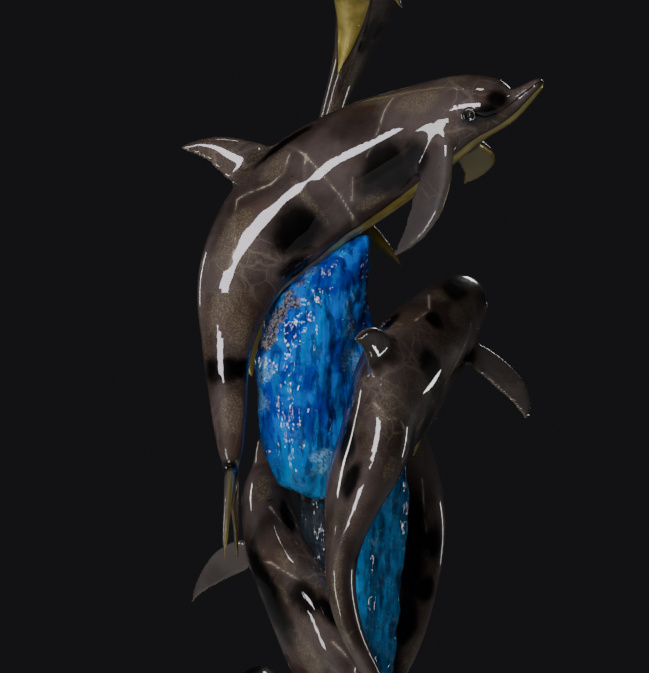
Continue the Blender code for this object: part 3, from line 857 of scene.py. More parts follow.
def faceRelief(line, points, facts):
    # how far the mouth line, the eyes' lids and the blowhole move the skin, and their masks
    sizes = faceSizes
    mouthAngle = smoothTable(mouthTable, facts["share"])[:, 0]
    mouth = np.radians(mouthAngle - facts["fromBelly"]) * facts["radius"]
    mouthEnd = mouthTable[-1][0]
    past = np.maximum(facts["share"] - mouthEnd, 0) * line["length"]
    mouth = np.sign(mouth) * np.hypot(mouth, past)
    depth = -sizes["mouthDepth"] * np.exp(-(mouth / sizes["mouthWidth"]) ** 2)
    depth = depth * ease(facts["share"], 0.0, sizes["mouthStart"])
    eye = np.zeros(len(points))
    for spot, _ in eyeSpots(line):
        away = np.linalg.norm(points - spot, axis=1)
        lid = (away - sizes["lidRadius"]) / sizes["lidWidth"]
        depth += sizes["lidHeight"] * np.exp(-lid ** 2)
        depth -= sizes["socketDepth"] * np.exp(-(away / sizes["socketWidth"]) ** 2)
        eye = np.maximum(eye, 1 - ease(away, *sizes["eyeFade"]))
    across = np.abs((facts["fromBelly"] - 180) * math.pi / 180 * facts["radius"])
    lengthwise = (facts["share"] - sizes["blowholeAt"]) * line["length"]
    lengthwise = lengthwise + sizes["blowholeCurve"] * across
    blowhole = np.exp(-(lengthwise / sizes["blowholeWidth"]) ** 2)
    blowhole = blowhole * (1 - ease(across, *sizes["blowholeFade"]))
    depth -= sizes["blowholeDepth"] * blowhole
    mouth = mouth * groupSizes["millimetres"]
    return depth, {"mouth": mouth, "eye": eye, "blowhole": blowhole}


def addEyes(mesh, line):
    work = bmesh.new()
    work.from_mesh(mesh)
    eyeLayer = work.verts.layers.float["eye"]
    for spot, way in eyeSpots(line):
        made = bmesh.ops.create_uvsphere(
            work, u_segments=faceSizes["eyeSides"], v_segments=faceSizes["eyeRings"],
            radius=faceSizes["eyeRadius"],
        )
        for vertex in made["verts"]:
            vertex.co += Vector(spot - way * faceSizes["eyeSunk"])
            vertex[eyeLayer] = 1.0
    work.to_mesh(mesh)
    work.free()


def addPiece(name, mesh, material):
    mesh.materials.clear()
    mesh.materials.append(material)
    mesh.shade_smooth()
    piece = bpy.data.objects.new(name, mesh)
    bpy.context.scene.collection.objects.link(piece)
    return piece


def makeDolphin(nodeName, pose, material):
    pieceName = nodeName.split("_")[0] + "Dolphin"
    line = middleLine(pose)
    voxel = dolphinSizes["voxel"]
    body, fins = bodyShell(line), finParts(line, pose)
    mesh = fuse(pieceName, [body] + [fin["shell"] for fin in fins], voxel)
    bodyTree = shellTree(body)
    points = smoothSkin(mesh, line, fins, bodyTree, voxel)
    facts, normals = bodyFacts(line, points), readNormals(mesh)
    onFins = finMasks(fins, bodyTree, points, normals, facts)
    relief, onFace = faceRelief(line, points, facts)
    points = points + normals * relief[:, None]
    inset = dolphinSizes["boxInset"]
    points = np.clip(points, np.array(cadBounds[0]) + inset, np.array(cadBounds[1]) - inset)
    writePoints(mesh, points)

    bellyHalf = smoothTable(bellyTable, facts["share"])[:, 0] * goldWidths[nodeName]
    belly = np.radians(bellyHalf - facts["fromBelly"]) * facts["radius"]
    vein = veinGap(veinPaths[nodeName], line, points)
    thinnest = dolphinSizes["thinnestSpray"]
    paint = {   # gaps in millimetres, the rest from 0 to 1
        "belly": belly * groupSizes["millimetres"],
        "vein": vein * groupSizes["millimetres"],
        # black blotches, on the back dolphin partly painted shade
        "blotchAndShade": spotMask(blotchesAndShade[nodeName], line, facts),
        # pale speckle, on the upper dolphin partly painted sheen
        "paleAndSheen": spotMask(paleSpotsAndSheen[nodeName], line, facts),
        "spray": thinnest + (1 - thinnest) * spotMask(beadSpots[nodeName], line, facts),
        **onFins, **onFace,
    }
    for name, values in paint.items():
        setAttribute(mesh, name, values)
    addEyes(mesh, line)
    piece = addPiece(pieceName, mesh, material)
    addBeads(piece, material, dolphinSizes["beadRadius"], dolphinSizes["beadDensity"], len(pieceName))
    print(" ", pieceName, len(piece.data.polygons), "faces, length", round(line["length"], 3))
    return piece


waveSizes = {
    "voxel": 0.0027,
    "quickVoxel": 0.005,
    "rings": 160,
    "sides": 96,
    "seatGap": 0.0004,        # between the wave's foot and the plinth
    "relaxRounds": 8,
    "fluteCount": 5,
    "fluteDepth": 0.10,
    "fluteTurn": 0.045,
    "ridgeHeight": 0.0016,    # of the flow lines that run down the wave
    "ridgeShares": (0.7, 0.35),   # broad ones and fine ones
    "broadLines": (95, 11),   # how many to the metre round the wave, and down it
    "fineLines": (210, 24),
    "swayReach": 0.012,       # how far the flow lines snake
    "swayTurns": (17, 9),     # with the height and across
    "lumpHeight": 0.0034,
    "lumpShares": (0.7, 0.25),    # big ones and small ones
    "lumpSize": 0.022,
    "smallLumps": 130,        # to the metre
    "footFade": (0.001, 0.012),   # above the plinth, where the relief begins
    "beadRadius": 0.0011,
    "beadDensity": 6500.0,    # to the square metre, where the spray is thickest
    "beadSeed": 7,
}

# Places on the wave in metres, each with a reach: the grey crust, the pale film, the painted
# shade in the hollow under the crest and the spray of beads
crustSpots = (
    (-0.052, -0.060, 0.705, 0.020), (-0.040, -0.058, 0.722, 0.015), (-0.062, -0.055, 0.685, 0.018),
    (-0.068, -0.048, 0.664, 0.018), (-0.022, -0.062, 0.738, 0.012), (0.020, 0.030, 0.730, 0.024),
    (-0.050, 0.040, 0.640, 0.026), (0.024, -0.058, 0.700, 0.010),
)
paleFilmSpots = (
    (-0.072, -0.048, 0.630, 0.018), (-0.074, -0.046, 0.600, 0.016), (0.020, -0.060, 0.690, 0.016),
    (0.024, -0.050, 0.665, 0.016), (0.020, -0.050, 0.640, 0.018), (-0.010, -0.060, 0.540, 0.020),
    (-0.030, -0.052, 0.735, 0.016), (0.048, -0.012, 0.530, 0.018), (0.034, -0.016, 0.460, 0.014),
    (0.040, 0.040, 0.560, 0.030), (-0.050, 0.050, 0.480, 0.030), (0.000, 0.060, 0.700, 0.030),
)
# painted shade: near-black colour where the crest's overhang shades the stem
underCrestShadeSpots = (
    (-0.034, -0.004, 0.480, 0.034), (-0.026, -0.010, 0.455, 0.030), (-0.038, 0.000, 0.510, 0.024),
    (-0.016, -0.012, 0.432, 0.024), (-0.010, -0.030, 0.500, 0.018),
)
spraySpots = (
    (-0.045, -0.062, 0.700, 0.030), (-0.010, -0.072, 0.700, 0.034), (0.010, -0.070, 0.660, 0.020),
    (-0.030, -0.072, 0.560, 0.030), (0.000, -0.070, 0.605, 0.016), (0.030, -0.018, 0.380, 0.040),
    (-0.020, -0.068, 0.540, 0.020), (0.045, -0.010, 0.420, 0.020), (0.030, 0.040, 0.660, 0.050),
)
placeFade = (0.3, 1.5)        # shares of the reach where a place starts and ends to fade

# The wave: height, centre across and in depth, half widths, in steps
stemTable = (
    (0.0, 0.4, 0.5, 14.5, 13.5), (1.2, 0.4, 0.5, 13.5, 12.5), (2.8, 0.3, 0.6, 10.8, 10.4),
    (5.0, 0.2, 0.8, 8.4, 8.6), (8.0, 0.1, 1.0, 6.6, 7.4), (12.0, 0.2, 1.6, 5.4, 6.2),
    (17.0, 0.6, 2.2, 4.6, 5.2), (23.0, 1.2, 2.6, 4.1, 4.6), (30.0, 1.7, 2.4, 3.9, 4.4),
    (36.0, 2.3, 2.0, 4.0, 4.4), (42.0, 2.2, 1.6, 4.8, 4.6), (47.0, 1.9, 1.2, 5.2, 4.8),
    (52.0, 1.6, 0.6, 5.2, 5.2), (58.0, 0.0, 0.2, 5.6, 5.0), (63.0, -1.2, 0.6, 5.2, 4.4),
    (67.0, -1.4, 1.2, 4.6, 3.1), (71.0, -1.3, 1.9, 4.0, 2.3), (75.0, -1.4, 2.7, 3.0, 1.6),
    (78.0, -1.6, 3.6, 1.6, 0.9),
)
crestTable = (
    (46.4, -1.3, -5.0, 0.9, 0.8), (47.4, -2.4, -4.6, 2.6, 1.8), (49.5, -2.9, -4.0, 3.7, 2.8),
    (52.2, -3.1, -3.4, 4.3, 3.6), (56.0, -3.2, -2.9, 4.5, 4.2), (59.6, -3.1, -2.6, 4.8, 4.4),
    (63.0, -2.4, -2.4, 4.8, 4.4), (66.0, -1.4, -2.2, 4.5, 4.1), (68.6, -0.1, -2.2, 3.5, 3.4),
    (70.7, 1.6, -2.6, 1.9, 2.2), (72.4, 3.2, -3.0, 0.5, 0.7),
)


def waveShell(table, fluted):
    sizes = waveSizes
    heights = np.linspace(table[0][0], table[-1][0], sizes["rings"])
    angle = np.linspace(0, math.tau, sizes["sides"], endpoint=False)
    foot = np.array((0, 0, groupSizes["plinthTop"] + sizes["seatGap"]))
    rings = []
    for height, (across, deep, halfWidth, halfDepth) in zip(heights, smoothTable(table, heights)):
        swell = np.ones(sizes["sides"])
        if fluted:
            turned = sizes["fluteCount"] * angle + sizes["fluteTurn"] * height
            swell += sizes["fluteDepth"] * np.cos(turned)
        x = across + halfWidth * swell * np.cos(angle)
        y = deep + halfDepth * swell * np.sin(angle)
        ring = np.stack([x, y, np.full(sizes["sides"], height)], 1) * groupSizes["step"]
        rings.append(ring + foot)
    return loftShell(rings)


def placeMask(spots, points):
    mask = np.zeros(len(points))
    for x, y, z, reach in spots:
        away = np.linalg.norm(points - np.array((x, y, z)), axis=1) / reach
        mask = np.maximum(mask, 1 - ease(away, *placeFade))
    return mask


def waveLift(x, y, z):
    # flow lines and lumps; the added whole numbers keep the noises apart
    sizes = waveSizes
    height, across = sizes["swayTurns"]
    sway = sizes["swayReach"] * math.sin(z * height + x * across)
    around, down = sizes["broadLines"]
    broad = noise.noise(Vector(((x + sway) * around, (y + sway) * around, z * down)))
    around, down = sizes["fineLines"]
    fine = noise.noise(Vector(((x + sway) * around, (y - sway) * around, z * down + 7)))
    big = noise.noise(Vector((x, y, z + 3)) / sizes["lumpSize"])
    small = noise.noise(Vector((x, y + 2, z)) * sizes["smallLumps"])
    broadShare, fineShare = sizes["ridgeShares"]
    bigShare, smallShare = sizes["lumpShares"]
    return (
        sizes["ridgeHeight"] * (broad * broadShare + fine * fineShare)
        + sizes["lumpHeight"] * (bigShare * big + smallShare * small)
    )


def makeWave(material):
    voxel = waveSizes["voxel"]
    mesh = fuse("seaWave", [waveShell(stemTable, True), waveShell(crestTable, False)], voxel)
    points = relax(
        readPoints(mesh), readEdges(mesh), waveSizes["relaxRounds"],
        dolphinSizes["pull"], dolphinSizes["push"],
    )
    writePoints(mesh, points)
    normals = readNormals(mesh)
    lift = np.array([waveLift(*point) for point in points])
    foot = ease(points[:, 2], *(groupSizes["plinthTop"] + rise for rise in waveSizes["footFade"]))
    points = points + normals * (lift * foot)[:, None]
    writePoints(mesh, points)
    for name, spots in (
        ("crust", crustSpots), ("film", paleFilmSpots), ("underCrestShade", underCrestShadeSpots), ("spray", spraySpots),
    ):
        setAttribute(mesh, name, placeMask(spots, points))
    piece = addPiece("seaWave", mesh, material)
    addBeads(piece, material, waveSizes["beadRadius"], waveSizes["beadDensity"], waveSizes["beadSeed"])
    print("  seaWave", len(piece.data.polygons), "faces")
    return piece


plinthSizes = {
    "radius": 0.20, "height": 0.04, "edge": 0.006, "edgeSteps": 8, "sides": 160,
    "sharpAngle": 40,
}


def makePlinth(material):
    radius, height, edge = plinthSizes["radius"], plinthSizes["height"], plinthSizes["edge"]
    outline = [(0.0, 0.0)]
    for centreHeight, start in ((edge, -90), (height - edge, 0)):
        for k in range(plinthSizes["edgeSteps"] + 1):
            angle = math.radians(start + 90 * k / plinthSizes["edgeSteps"])
            outline.append(
                (radius - edge + edge * math.cos(angle), centreHeight + edge * math.sin(angle))
            )
    outline.append((0.0, height))
    mesh = bpy.data.meshes.new("roundPlinth")
    work = bmesh.new()
    profile = [work.verts.new((r, 0, z)) for r, z in outline]
    edges = [work.edges.new(pair) for pair in zip(profile, profile[1:])]
    bmesh.ops.spin(
        work, geom=profile + edges, cent=(0, 0, 0), axis=(0, 0, 1), angle=math.tau,
        steps=plinthSizes["sides"], use_merge=True,
    )
    bmesh.ops.remove_doubles(work, verts=work.verts, dist=groupSizes["mergeGap"])
    bmesh.ops.recalc_face_normals(work, faces=work.faces)
    work.to_mesh(mesh)
    work.free()
    piece = addPiece("roundPlinth", mesh, material)
    mesh.set_sharp_from_angle(angle=math.radians(plinthSizes["sharpAngle"]))
    return piece


def softStep(tree, value, low, high):
    made = addNode(
        tree, "ShaderNodeMapRange",
        {"Value": value, "From Min": low, "From Max": high, "To Min": 0.0, "To Max": 1.0},
        interpolation_type="SMOOTHSTEP",
    )
    return made.outputs["Result"]


def blend(tree, mask, under, over):
    made = addNode(tree, "ShaderNodeMix", {0: mask}, data_type="RGBA")
    for index, value in ((6, under), (7, over)):
        if isinstance(value, bpy.types.NodeSocket):
            tree.links.new(value, made.inputs[index])
        else:
            made.inputs[index].default_value = (*value, 1.0)
    return made.outputs[2]


def blendValue(tree, mask, under, over):
    made = addNode(tree, "ShaderNodeMix", {0: mask, 2: under, 3: over}, data_type="FLOAT")
    return made.outputs[0]


def centred(tree, texture, reach):
    # a noise swung round nought, half its reach each way
    return maths(tree, "MULTIPLY", maths(tree, "SUBTRACT", texture.outputs["Fac"], 0.5), reach)


def attribute(tree, name):
    return addNode(tree, "ShaderNodeAttribute", attribute_name=name).outputs["Fac"]


def objectPlace(tree):
    return addNode(tree, "ShaderNodeTexCoord").outputs["Object"]


def newGroup(name, inputs, outputs):
    group = bpy.data.node_groups.new(name, "ShaderNodeTree")
    for label, kind, value in inputs:
        socket = group.interface.new_socket(name=label, in_out="INPUT", socket_type=kind)
        if value is not None:
            socket.default_value = value
    for label, kind in outputs:
        group.interface.new_socket(name=label, in_out="OUTPUT", socket_type=kind)
    return group, group.nodes.new("NodeGroupInput").outputs, group.nodes.new("NodeGroupOutput").inputs


def useGroup(tree, group, values):
    return addNode(tree, "ShaderNodeGroup", values, node_tree=group).outputs[0]


def patchesGroup():
    # broad soft patches
    group, given, result = newGroup(
        "softPatches",
        [("Place", "NodeSocketVector", None), ("Scale", "NodeSocketFloat", 8.0),
         ("Low", "NodeSocketFloat", 0.45), ("High", "NodeSocketFloat", 0.6)],
        [("Mask", "NodeSocketFloat")],
    )
    cloud = addNode(
        group, "ShaderNodeTexNoise",
        {"Vector": given["Place"], "Scale": given["Scale"], "Detail": 4.0, "Roughness": 0.55},
    )
    mask = softStep(group, cloud.outputs["Fac"], given["Low"], given["High"])
    group.links.new(mask, result["Mask"])
    return group


def veinsGroup():
    # thin wandering veins that come and go, as heat-crazed patina has
    group, given, result = newGroup(
        "patinaVeins",
        [("Place", "NodeSocketVector", None), ("Scale", "NodeSocketFloat", 16.0),
         ("Width", "NodeSocketFloat", 0.03), ("Wander", "NodeSocketFloat", 0.03),
         ("Cover", "NodeSocketFloat", 0.5)],
        [("Mask", "NodeSocketFloat")],
    )
    wander = addNode(
        group, "ShaderNodeTexNoise", {"Vector": given["Place"], "Scale": 22.0, "Detail": 5.0}
    )
    swung = addNode(
        group, "ShaderNodeVectorMath", {0: wander.outputs["Color"], 1: (0.5, 0.5, 0.5)},
        operation="SUBTRACT",
    )
    shifted = addNode(
        group, "ShaderNodeVectorMath",
        {0: swung.outputs[0], "Scale": given["Wander"]}, operation="SCALE",
    )
    place = addNode(
        group, "ShaderNodeVectorMath", {0: given["Place"], 1: shifted.outputs[0]}, operation="ADD"
    )
    cells = addNode(
        group, "ShaderNodeTexVoronoi", {"Vector": place.outputs[0], "Scale": given["Scale"]},
        feature="DISTANCE_TO_EDGE",
    )
    line = addNode(
        group, "ShaderNodeMapRange",
        {"Value": cells.outputs["Distance"], "From Min": 0.0, "From Max": given["Width"],
         "To Min": 1.0, "To Max": 0.0},
        interpolation_type="SMOOTHSTEP",
    )
    cover = addNode(
        group, "ShaderNodeTexNoise", {"Vector": given["Place"], "Scale": 11.0, "Detail": 2.0}
    )
    above = maths(group, "SUBTRACT", cover.outputs["Fac"], given["Cover"])
    shown = softStep(group, above, 0.0, 0.1)
    group.links.new(maths(group, "MULTIPLY", line.outputs["Result"], shown), result["Mask"])
    return group


def newMaterial(name, coatWeight=1.0, coatRoughness=0.03):
    material = bpy.data.materials.new(name)
    material.use_nodes = True
    tree = material.node_tree
    shader = tree.nodes["Principled BSDF"]
    shader.inputs["Coat Weight"].default_value = coatWeight
    shader.inputs["Coat Roughness"].default_value = coatRoughness
    shader.inputs["Coat IOR"].default_value = 1.5
    return material, tree, shader


def addBump(tree, shader, layers):
    # stacks bumps of different scales into the normal
    normal = None
    for height, depth in layers:
        values = {"Height": height, "Distance": depth, "Strength": 1.0}
        if normal is not None:
            values["Normal"] = normal
        normal = addNode(tree, "ShaderNodeBump", values).outputs["Normal"]
    tree.links.new(normal, shader.inputs["Normal"])


patinaColours = {
    "brown": (0.038, 0.0240, 0.0200),
    "mauve": (0.092, 0.067, 0.061),
    "umber": (0.066, 0.035, 0.022),
    "olive": (0.225, 0.182, 0.112),
    "cream": (0.460, 0.375, 0.290),
    "black": (0.0048, 0.0040, 0.0036),
    "smoke": (0.095, 0.088, 0.086),
    "rim": (0.300, 0.250, 0.150),
    "border": (0.016, 0.013, 0.005),
    "gold": (0.820, 0.660, 0.180),
    "dullGold": (0.420, 0.330, 0.075),
}
# How strongly each layer covers what lies under it
patinaShares = {
    "warm": 0.60, "paleAndSheen": 0.18, "grains": 0.52, "fewestGrains": 0.04, "looseGrains": 0.50,
    "painted": 0.95, "glow": 0.10, "wideVeins": 0.15, "thinVeins": 0.12,
    "blotchAndShade": 0.97, "looseBlotch": 0.60, "offFins": 0.70,
    "smoke": 0.50, "rim": 0.35, "border": 0.85, "dark": 0.95,
}
# How far noise frays the edges of painted places, and the depths of the bumps in metres
patinaFray = {"paleAndSheen": 1.5, "vein": 4.2, "blotchAndShade": 1.1, "belly": 2.0}
patinaDepths = {"cast": 0.0009, "pores": 0.00006, "lips": 0.0006}
patinaMetal = {"skin": 0.15, "gold": 0.60, "blotchAndShade": 0.90}
patinaRoughness = {"brown": 0.42, "mauve": 0.55, "gold": 0.34}
patinaSpecular = 0.18         # low, because the lacquer over it has its own shine


def dolphinPatina(patches, veins):
    material, tree, shader = newMaterial("dolphinPatina", coatRoughness=0.015)
    place = objectPlace(tree)
    colours, shares, fray = patinaColours, patinaShares, patinaFray
    tone = useGroup(tree, patches, {"Place": place, "Scale": 13.0, "Low": 0.38, "High": 0.62})
    colour = blend(tree, tone, colours["brown"], colours["mauve"])
    warm = useGroup(tree, patches, {"Place": place, "Scale": 17.0, "Low": 0.50, "High": 0.64})
    colour = blend(tree, maths(tree, "MULTIPLY", warm, shares["warm"]), colour, colours["umber"])
    # the fine grain of the heated skin
    grain = addNode(tree, "ShaderNodeTexNoise", {"Vector": place, "Scale": 620.0, "Detail": 2.0})
    grains = softStep(tree, grain.outputs["Fac"], 0.48, 0.62)
    cloud = addNode(tree, "ShaderNodeTexNoise", {"Vector": place, "Scale": 30.0, "Detail": 4.0})
    ragged = centred(tree, cloud, fray["paleAndSheen"])
    torn = addNode(tree, "ShaderNodeTexNoise", {"Vector": place, "Scale": 55.0, "Detail": 5.0})
    frayed = centred(tree, torn, fray["blotchAndShade"])
    # pale speckled places, on the upper dolphin partly painted sheen
    paleAndSheen = softStep(tree, maths(tree, "ADD", attribute(tree, "paleAndSheen"), ragged), 0.30, 1.0)
    colour = blend(tree, maths(tree, "MULTIPLY", paleAndSheen, shares["paleAndSheen"]), colour, colours["olive"])
    zone = useGroup(tree, patches, {"Place": place, "Scale": 9.0, "Low": 0.50, "High": 0.66})
    zone = maths(tree, "MAXIMUM", maths(tree, "MULTIPLY", zone, shares["looseGrains"]), paleAndSheen)
    zone = maths(tree, "MULTIPLY", zone, shares["grains"])
    zone = maths(tree, "ADD", zone, shares["fewestGrains"])
    colour = blend(tree, maths(tree, "MULTIPLY", grains, zone), colour, colours["olive"])
    # cream veins, painted ones and fine crazing
    gap = maths(tree, "ADD", attribute(tree, "vein"), maths(tree, "MULTIPLY", ragged, fray["vein"]))
    broken = softStep(tree, cloud.outputs["Fac"], 0.34, 0.48)
    path = maths(tree, "MULTIPLY", softStep(tree, maths(tree, "ABSOLUTE", gap), 1.5, 0.4), broken)
    path = maths(tree, "MULTIPLY", path, shares["painted"])
    glow = softStep(tree, maths(tree, "ABSOLUTE", gap), 4.5, 0.5)
    glow = maths(tree, "MULTIPLY", glow, shares["glow"])
    wide = useGroup(
        tree, veins, {"Place": place, "Scale": 15.0, "Width": 0.04, "Wander": 0.055, "Cover": 0.52}
    )
    thin = useGroup(
        tree, veins, {"Place": place, "Scale": 40.0, "Width": 0.05, "Wander": 0.03, "Cover": 0.50}
    )
    wide = maths(tree, "MULTIPLY", wide, shares["wideVeins"])
    thin = maths(tree, "MULTIPLY", thin, shares["thinVeins"])
    crazed = maths(tree, "MAXIMUM", wide, thin)
    vein = maths(tree, "MAXIMUM", path, maths(tree, "MAXIMUM", glow, crazed))
    colour = blend(tree, vein, colour, colours["cream"])
    # black blotches and painted shade, fins, rims and the gilt belly with its dark border
    blotchAndShade = softStep(tree, maths(tree, "ADD", attribute(tree, "blotchAndShade"), frayed), 0.0, 0.95)
    loose = useGroup(tree, patches, {"Place": place, "Scale": 12.0, "Low": 0.58, "High": 0.78})
    onFin, rim = attribute(tree, "onFin"), attribute(tree, "rim")
    blotchAndShade = maths(tree, "MAXIMUM", blotchAndShade, maths(tree, "MULTIPLY", loose, shares["looseBlotch"]))
    clear = maths(tree, "SUBTRACT", 1.0, maths(tree, "MULTIPLY", onFin, shares["offFins"]))
    blotchAndShade = maths(tree, "MULTIPLY", blotchAndShade, clear)
    smoky = attribute(tree, "finTint")
    for mask, share, over in (
        (blotchAndShade, "blotchAndShade", "black"), (smoky, "smoke", "smoke"), (rim, "rim", "rim"),
    ):
        shown = maths(tree, "MULTIPLY", mask, shares[share])
        colour = blend(tree, shown, colour, colours[over])
    wobble = addNode(tree, "ShaderNodeTexNoise", {"Vector": place, "Scale": 60.0, "Detail": 2.0})
    belly = maths(tree, "ADD", attribute(tree, "belly"), centred(tree, wobble, fray["belly"]))
    offFin = maths(tree, "SUBTRACT", 1.0, onFin)
    border = maths(tree, "MULTIPLY", softStep(tree, belly, -6.0, -0.5), offFin)
    colour = blend(tree, maths(tree, "MULTIPLY", border, shares["border"]), colour, colours["border"])
    gold = maths(tree, "MULTIPLY", softStep(tree, belly, -0.5, 0.3), offFin)
    gold = maths(tree, "MAXIMUM", gold, attribute(tree, "under"))
    worn = useGroup(tree, patches, {"Place": place, "Scale": 40.0, "Low": 0.35, "High": 0.7})
    inner = softStep(tree, belly, 0.0, 7.0)
    goldTone = blend(tree, maths(tree, "MULTIPLY", worn, inner), colours["dullGold"], colours["gold"])
    colour = blend(tree, gold, colour, goldTone)
    mouth = attribute(tree, "mouth")
    lips = softStep(tree, maths(tree, "ABSOLUTE", mouth), 0.9, 0.3)
    dark = maths(tree, "MAXIMUM", lips, attribute(tree, "eye"))
    dark = maths(tree, "MAXIMUM", dark, attribute(tree, "blowhole"), clamp=True)
    colour = blend(tree, maths(tree, "MULTIPLY", dark, shares["dark"]), colour, colours["black"])
    tree.links.new(colour, shader.inputs["Base Color"])
    clean = maths(tree, "SUBTRACT", 1.0, dark, clamp=True)
    metal = blendValue(tree, gold, patinaMetal["skin"], patinaMetal["gold"])
    metal = blendValue(tree, blotchAndShade, metal, patinaMetal["blotchAndShade"])
    metal = maths(tree, "MULTIPLY", metal, clean)
    tree.links.new(metal, shader.inputs["Metallic"])
    rough = blendValue(tree, tone, patinaRoughness["brown"], patinaRoughness["mauve"])
    rough = blendValue(tree, gold, rough, patinaRoughness["gold"])
    tree.links.new(rough, shader.inputs["Roughness"])
    shader.inputs["Specular IOR Level"].default_value = patinaSpecular
    castSkin = addNode(tree, "ShaderNodeTexNoise", {"Vector": place, "Scale": 45.0, "Detail": 2.0})
    pores = addNode(tree, "ShaderNodeTexNoise", {"Vector": place, "Scale": 420.0, "Detail": 2.0})
    addBump(tree, shader, (
        (castSkin.outputs["Fac"], patinaDepths["cast"]),
        (pores.outputs["Fac"], patinaDepths["pores"]),
        (maths(tree, "SUBTRACT", 1.0, lips), patinaDepths["lips"]),
    ))
    return material


waveColours = {
    "deep": (0.0015, 0.036, 0.370),
    "azure": (0.002, 0.165, 0.700),
    "turquoise": (0.004, 0.270, 0.620),
    "teal": (0.003, 0.175, 0.340),
    "foam": (0.300, 0.520, 0.560),
    "crust": (0.260, 0.230, 0.190),
    # painted shade under the crest
    "underCrestShade": (0.020, 0.021, 0.020),
    "ink": (0.0015, 0.012, 0.070),
    "grit": (0.030, 0.026, 0.020),
    "crazing": (0.004, 0.02, 0.09),
}
waveShares = {
    "teal": 0.75, "turquoise": 0.50, "ink": 0.62, "film": 0.60, "looseFoam": 0.30,
    "crust": 0.92, "underCrestShade": 0.96, "crazing": 0.35, "foamMatt": 0.50,
}
waveFray = 1.6
waveRoughness = {"glossy": 0.045, "matt": 0.24}
waveDepths = {"dimples": 0.0060, "ripple": 0.0038, "pits": 0.0022}   # in metres
smoothPits = 0.25             # share of the pits' depth outside the crust


def waveEnamel(patches, veins):
    material, tree, shader = newMaterial("waveEnamel", coatWeight=0.0)
    place = objectPlace(tree)
    colours, shares = waveColours, waveShares
    depth = useGroup(tree, patches, {"Place": place, "Scale": 30.0, "Low": 0.47, "High": 0.57})
    colour = blend(tree, depth, colours["azure"], colours["deep"])
    height = addNode(tree, "ShaderNodeSeparateXYZ", {"Vector": place}).outputs["Z"]
    low = softStep(tree, height, 0.60, 0.50)
    colour = blend(tree, maths(tree, "MULTIPLY", low, shares["teal"]), colour, colours["teal"])
    streaks = addNode(tree, "ShaderNodeMapping", {"Vector": place, "Scale": (1.0, 1.0, 0.22)})
    streak = useGroup(
        tree, patches, {"Place": streaks.outputs[0], "Scale": 85.0, "Low": 0.5, "High": 0.64}
    )
    streak = maths(tree, "MULTIPLY", streak, shares["turquoise"])
    colour = blend(tree, streak, colour, colours["turquoise"])
    ink = useGroup(
        tree, patches, {"Place": streaks.outputs[0], "Scale": 150.0, "Low": 0.53, "High": 0.61}
    )
    colour = blend(tree, maths(tree, "MULTIPLY", ink, shares["ink"]), colour, colours["ink"])
    cloud = addNode(tree, "ShaderNodeTexNoise", {"Vector": place, "Scale": 70.0, "Detail": 4.0})
    ragged = centred(tree, cloud, waveFray)
    flecks = addNode(tree, "ShaderNodeTexNoise", {"Vector": place, "Scale": 420.0, "Detail": 4.0})
    film = softStep(tree, maths(tree, "ADD", attribute(tree, "film"), ragged), 0.35, 1.0)
    film = maths(tree, "MULTIPLY", film, softStep(tree, flecks.outputs["Fac"], 0.36, 0.58))
    foamZone = useGroup(tree, patches, {"Place": place, "Scale": 14.0, "Low": 0.62, "High": 0.74})
    loose = maths(tree, "MULTIPLY", foamZone, softStep(tree, flecks.outputs["Fac"], 0.52, 0.64))
    film = maths(tree, "MULTIPLY", film, shares["film"])
    foam = maths(tree, "MAXIMUM", film, maths(tree, "MULTIPLY", loose, shares["looseFoam"]))
    colour = blend(tree, foam, colour, colours["foam"])
    crust = softStep(tree, maths(tree, "ADD", attribute(tree, "crust"), ragged), 0.40, 0.85)
    gritty = softStep(tree, flecks.outputs["Fac"], 0.40, 0.62)
    crustTone = blend(tree, gritty, colours["grit"], colours["crust"])
    colour = blend(tree, maths(tree, "MULTIPLY", crust, shares["crust"]), colour, crustTone)
    # painted shade in the hollow under the crest
    underCrestShade = softStep(tree, maths(tree, "ADD", attribute(tree, "underCrestShade"), ragged), 0.25, 0.60)
    colour = blend(tree, maths(tree, "MULTIPLY", underCrestShade, shares["underCrestShade"]), colour, colours["underCrestShade"])
    crazing = useGroup(
        tree, veins, {"Place": place, "Scale": 60.0, "Width": 0.05, "Wander": 0.02, "Cover": 0.52}
    )
    crazing = maths(tree, "MULTIPLY", crazing, shares["crazing"])
    colour = blend(tree, crazing, colour, colours["crazing"])
    tree.links.new(colour, shader.inputs["Base Color"])
    shader.inputs["Specular IOR Level"].default_value = 0.5
    matt = maths(tree, "MAXIMUM", maths(tree, "MULTIPLY", foam, shares["foamMatt"]), crust)
    rough = blendValue(tree, matt, waveRoughness["glossy"], waveRoughness["matt"])
    tree.links.new(rough, shader.inputs["Roughness"])
    ripple = addNode(
        tree, "ShaderNodeTexNoise", {"Vector": streaks.outputs[0], "Scale": 85.0, "Detail": 2.5}
    )
    dimples = addNode(tree, "ShaderNodeTexNoise", {"Vector": place, "Scale": 55.0, "Detail": 1.0})
    pits = addNode(tree, "ShaderNodeTexNoise", {"Vector": place, "Scale": 200.0, "Detail": 2.0})
    pitting = maths(tree, "MULTIPLY", pits.outputs["Fac"], maths(tree, "ADD", crust, smoothPits))
    addBump(tree, shader, (
        (dimples.outputs["Fac"], waveDepths["dimples"]),
        (ripple.outputs["Fac"], waveDepths["ripple"]),
        (pitting, waveDepths["pits"]),
    ))
    return material


graniteColours = {
    "black": (0.010, 0.010, 0.011),
    "cloud": (0.022, 0.022, 0.024),
    "grain": (0.11, 0.11, 0.12),
    "flake": (0.32, 0.32, 0.34),
}
graniteLook = {"grainShare": 0.8, "polish": 0.22, "grainRoughness": 0.4, "grainDepth": 0.00005}


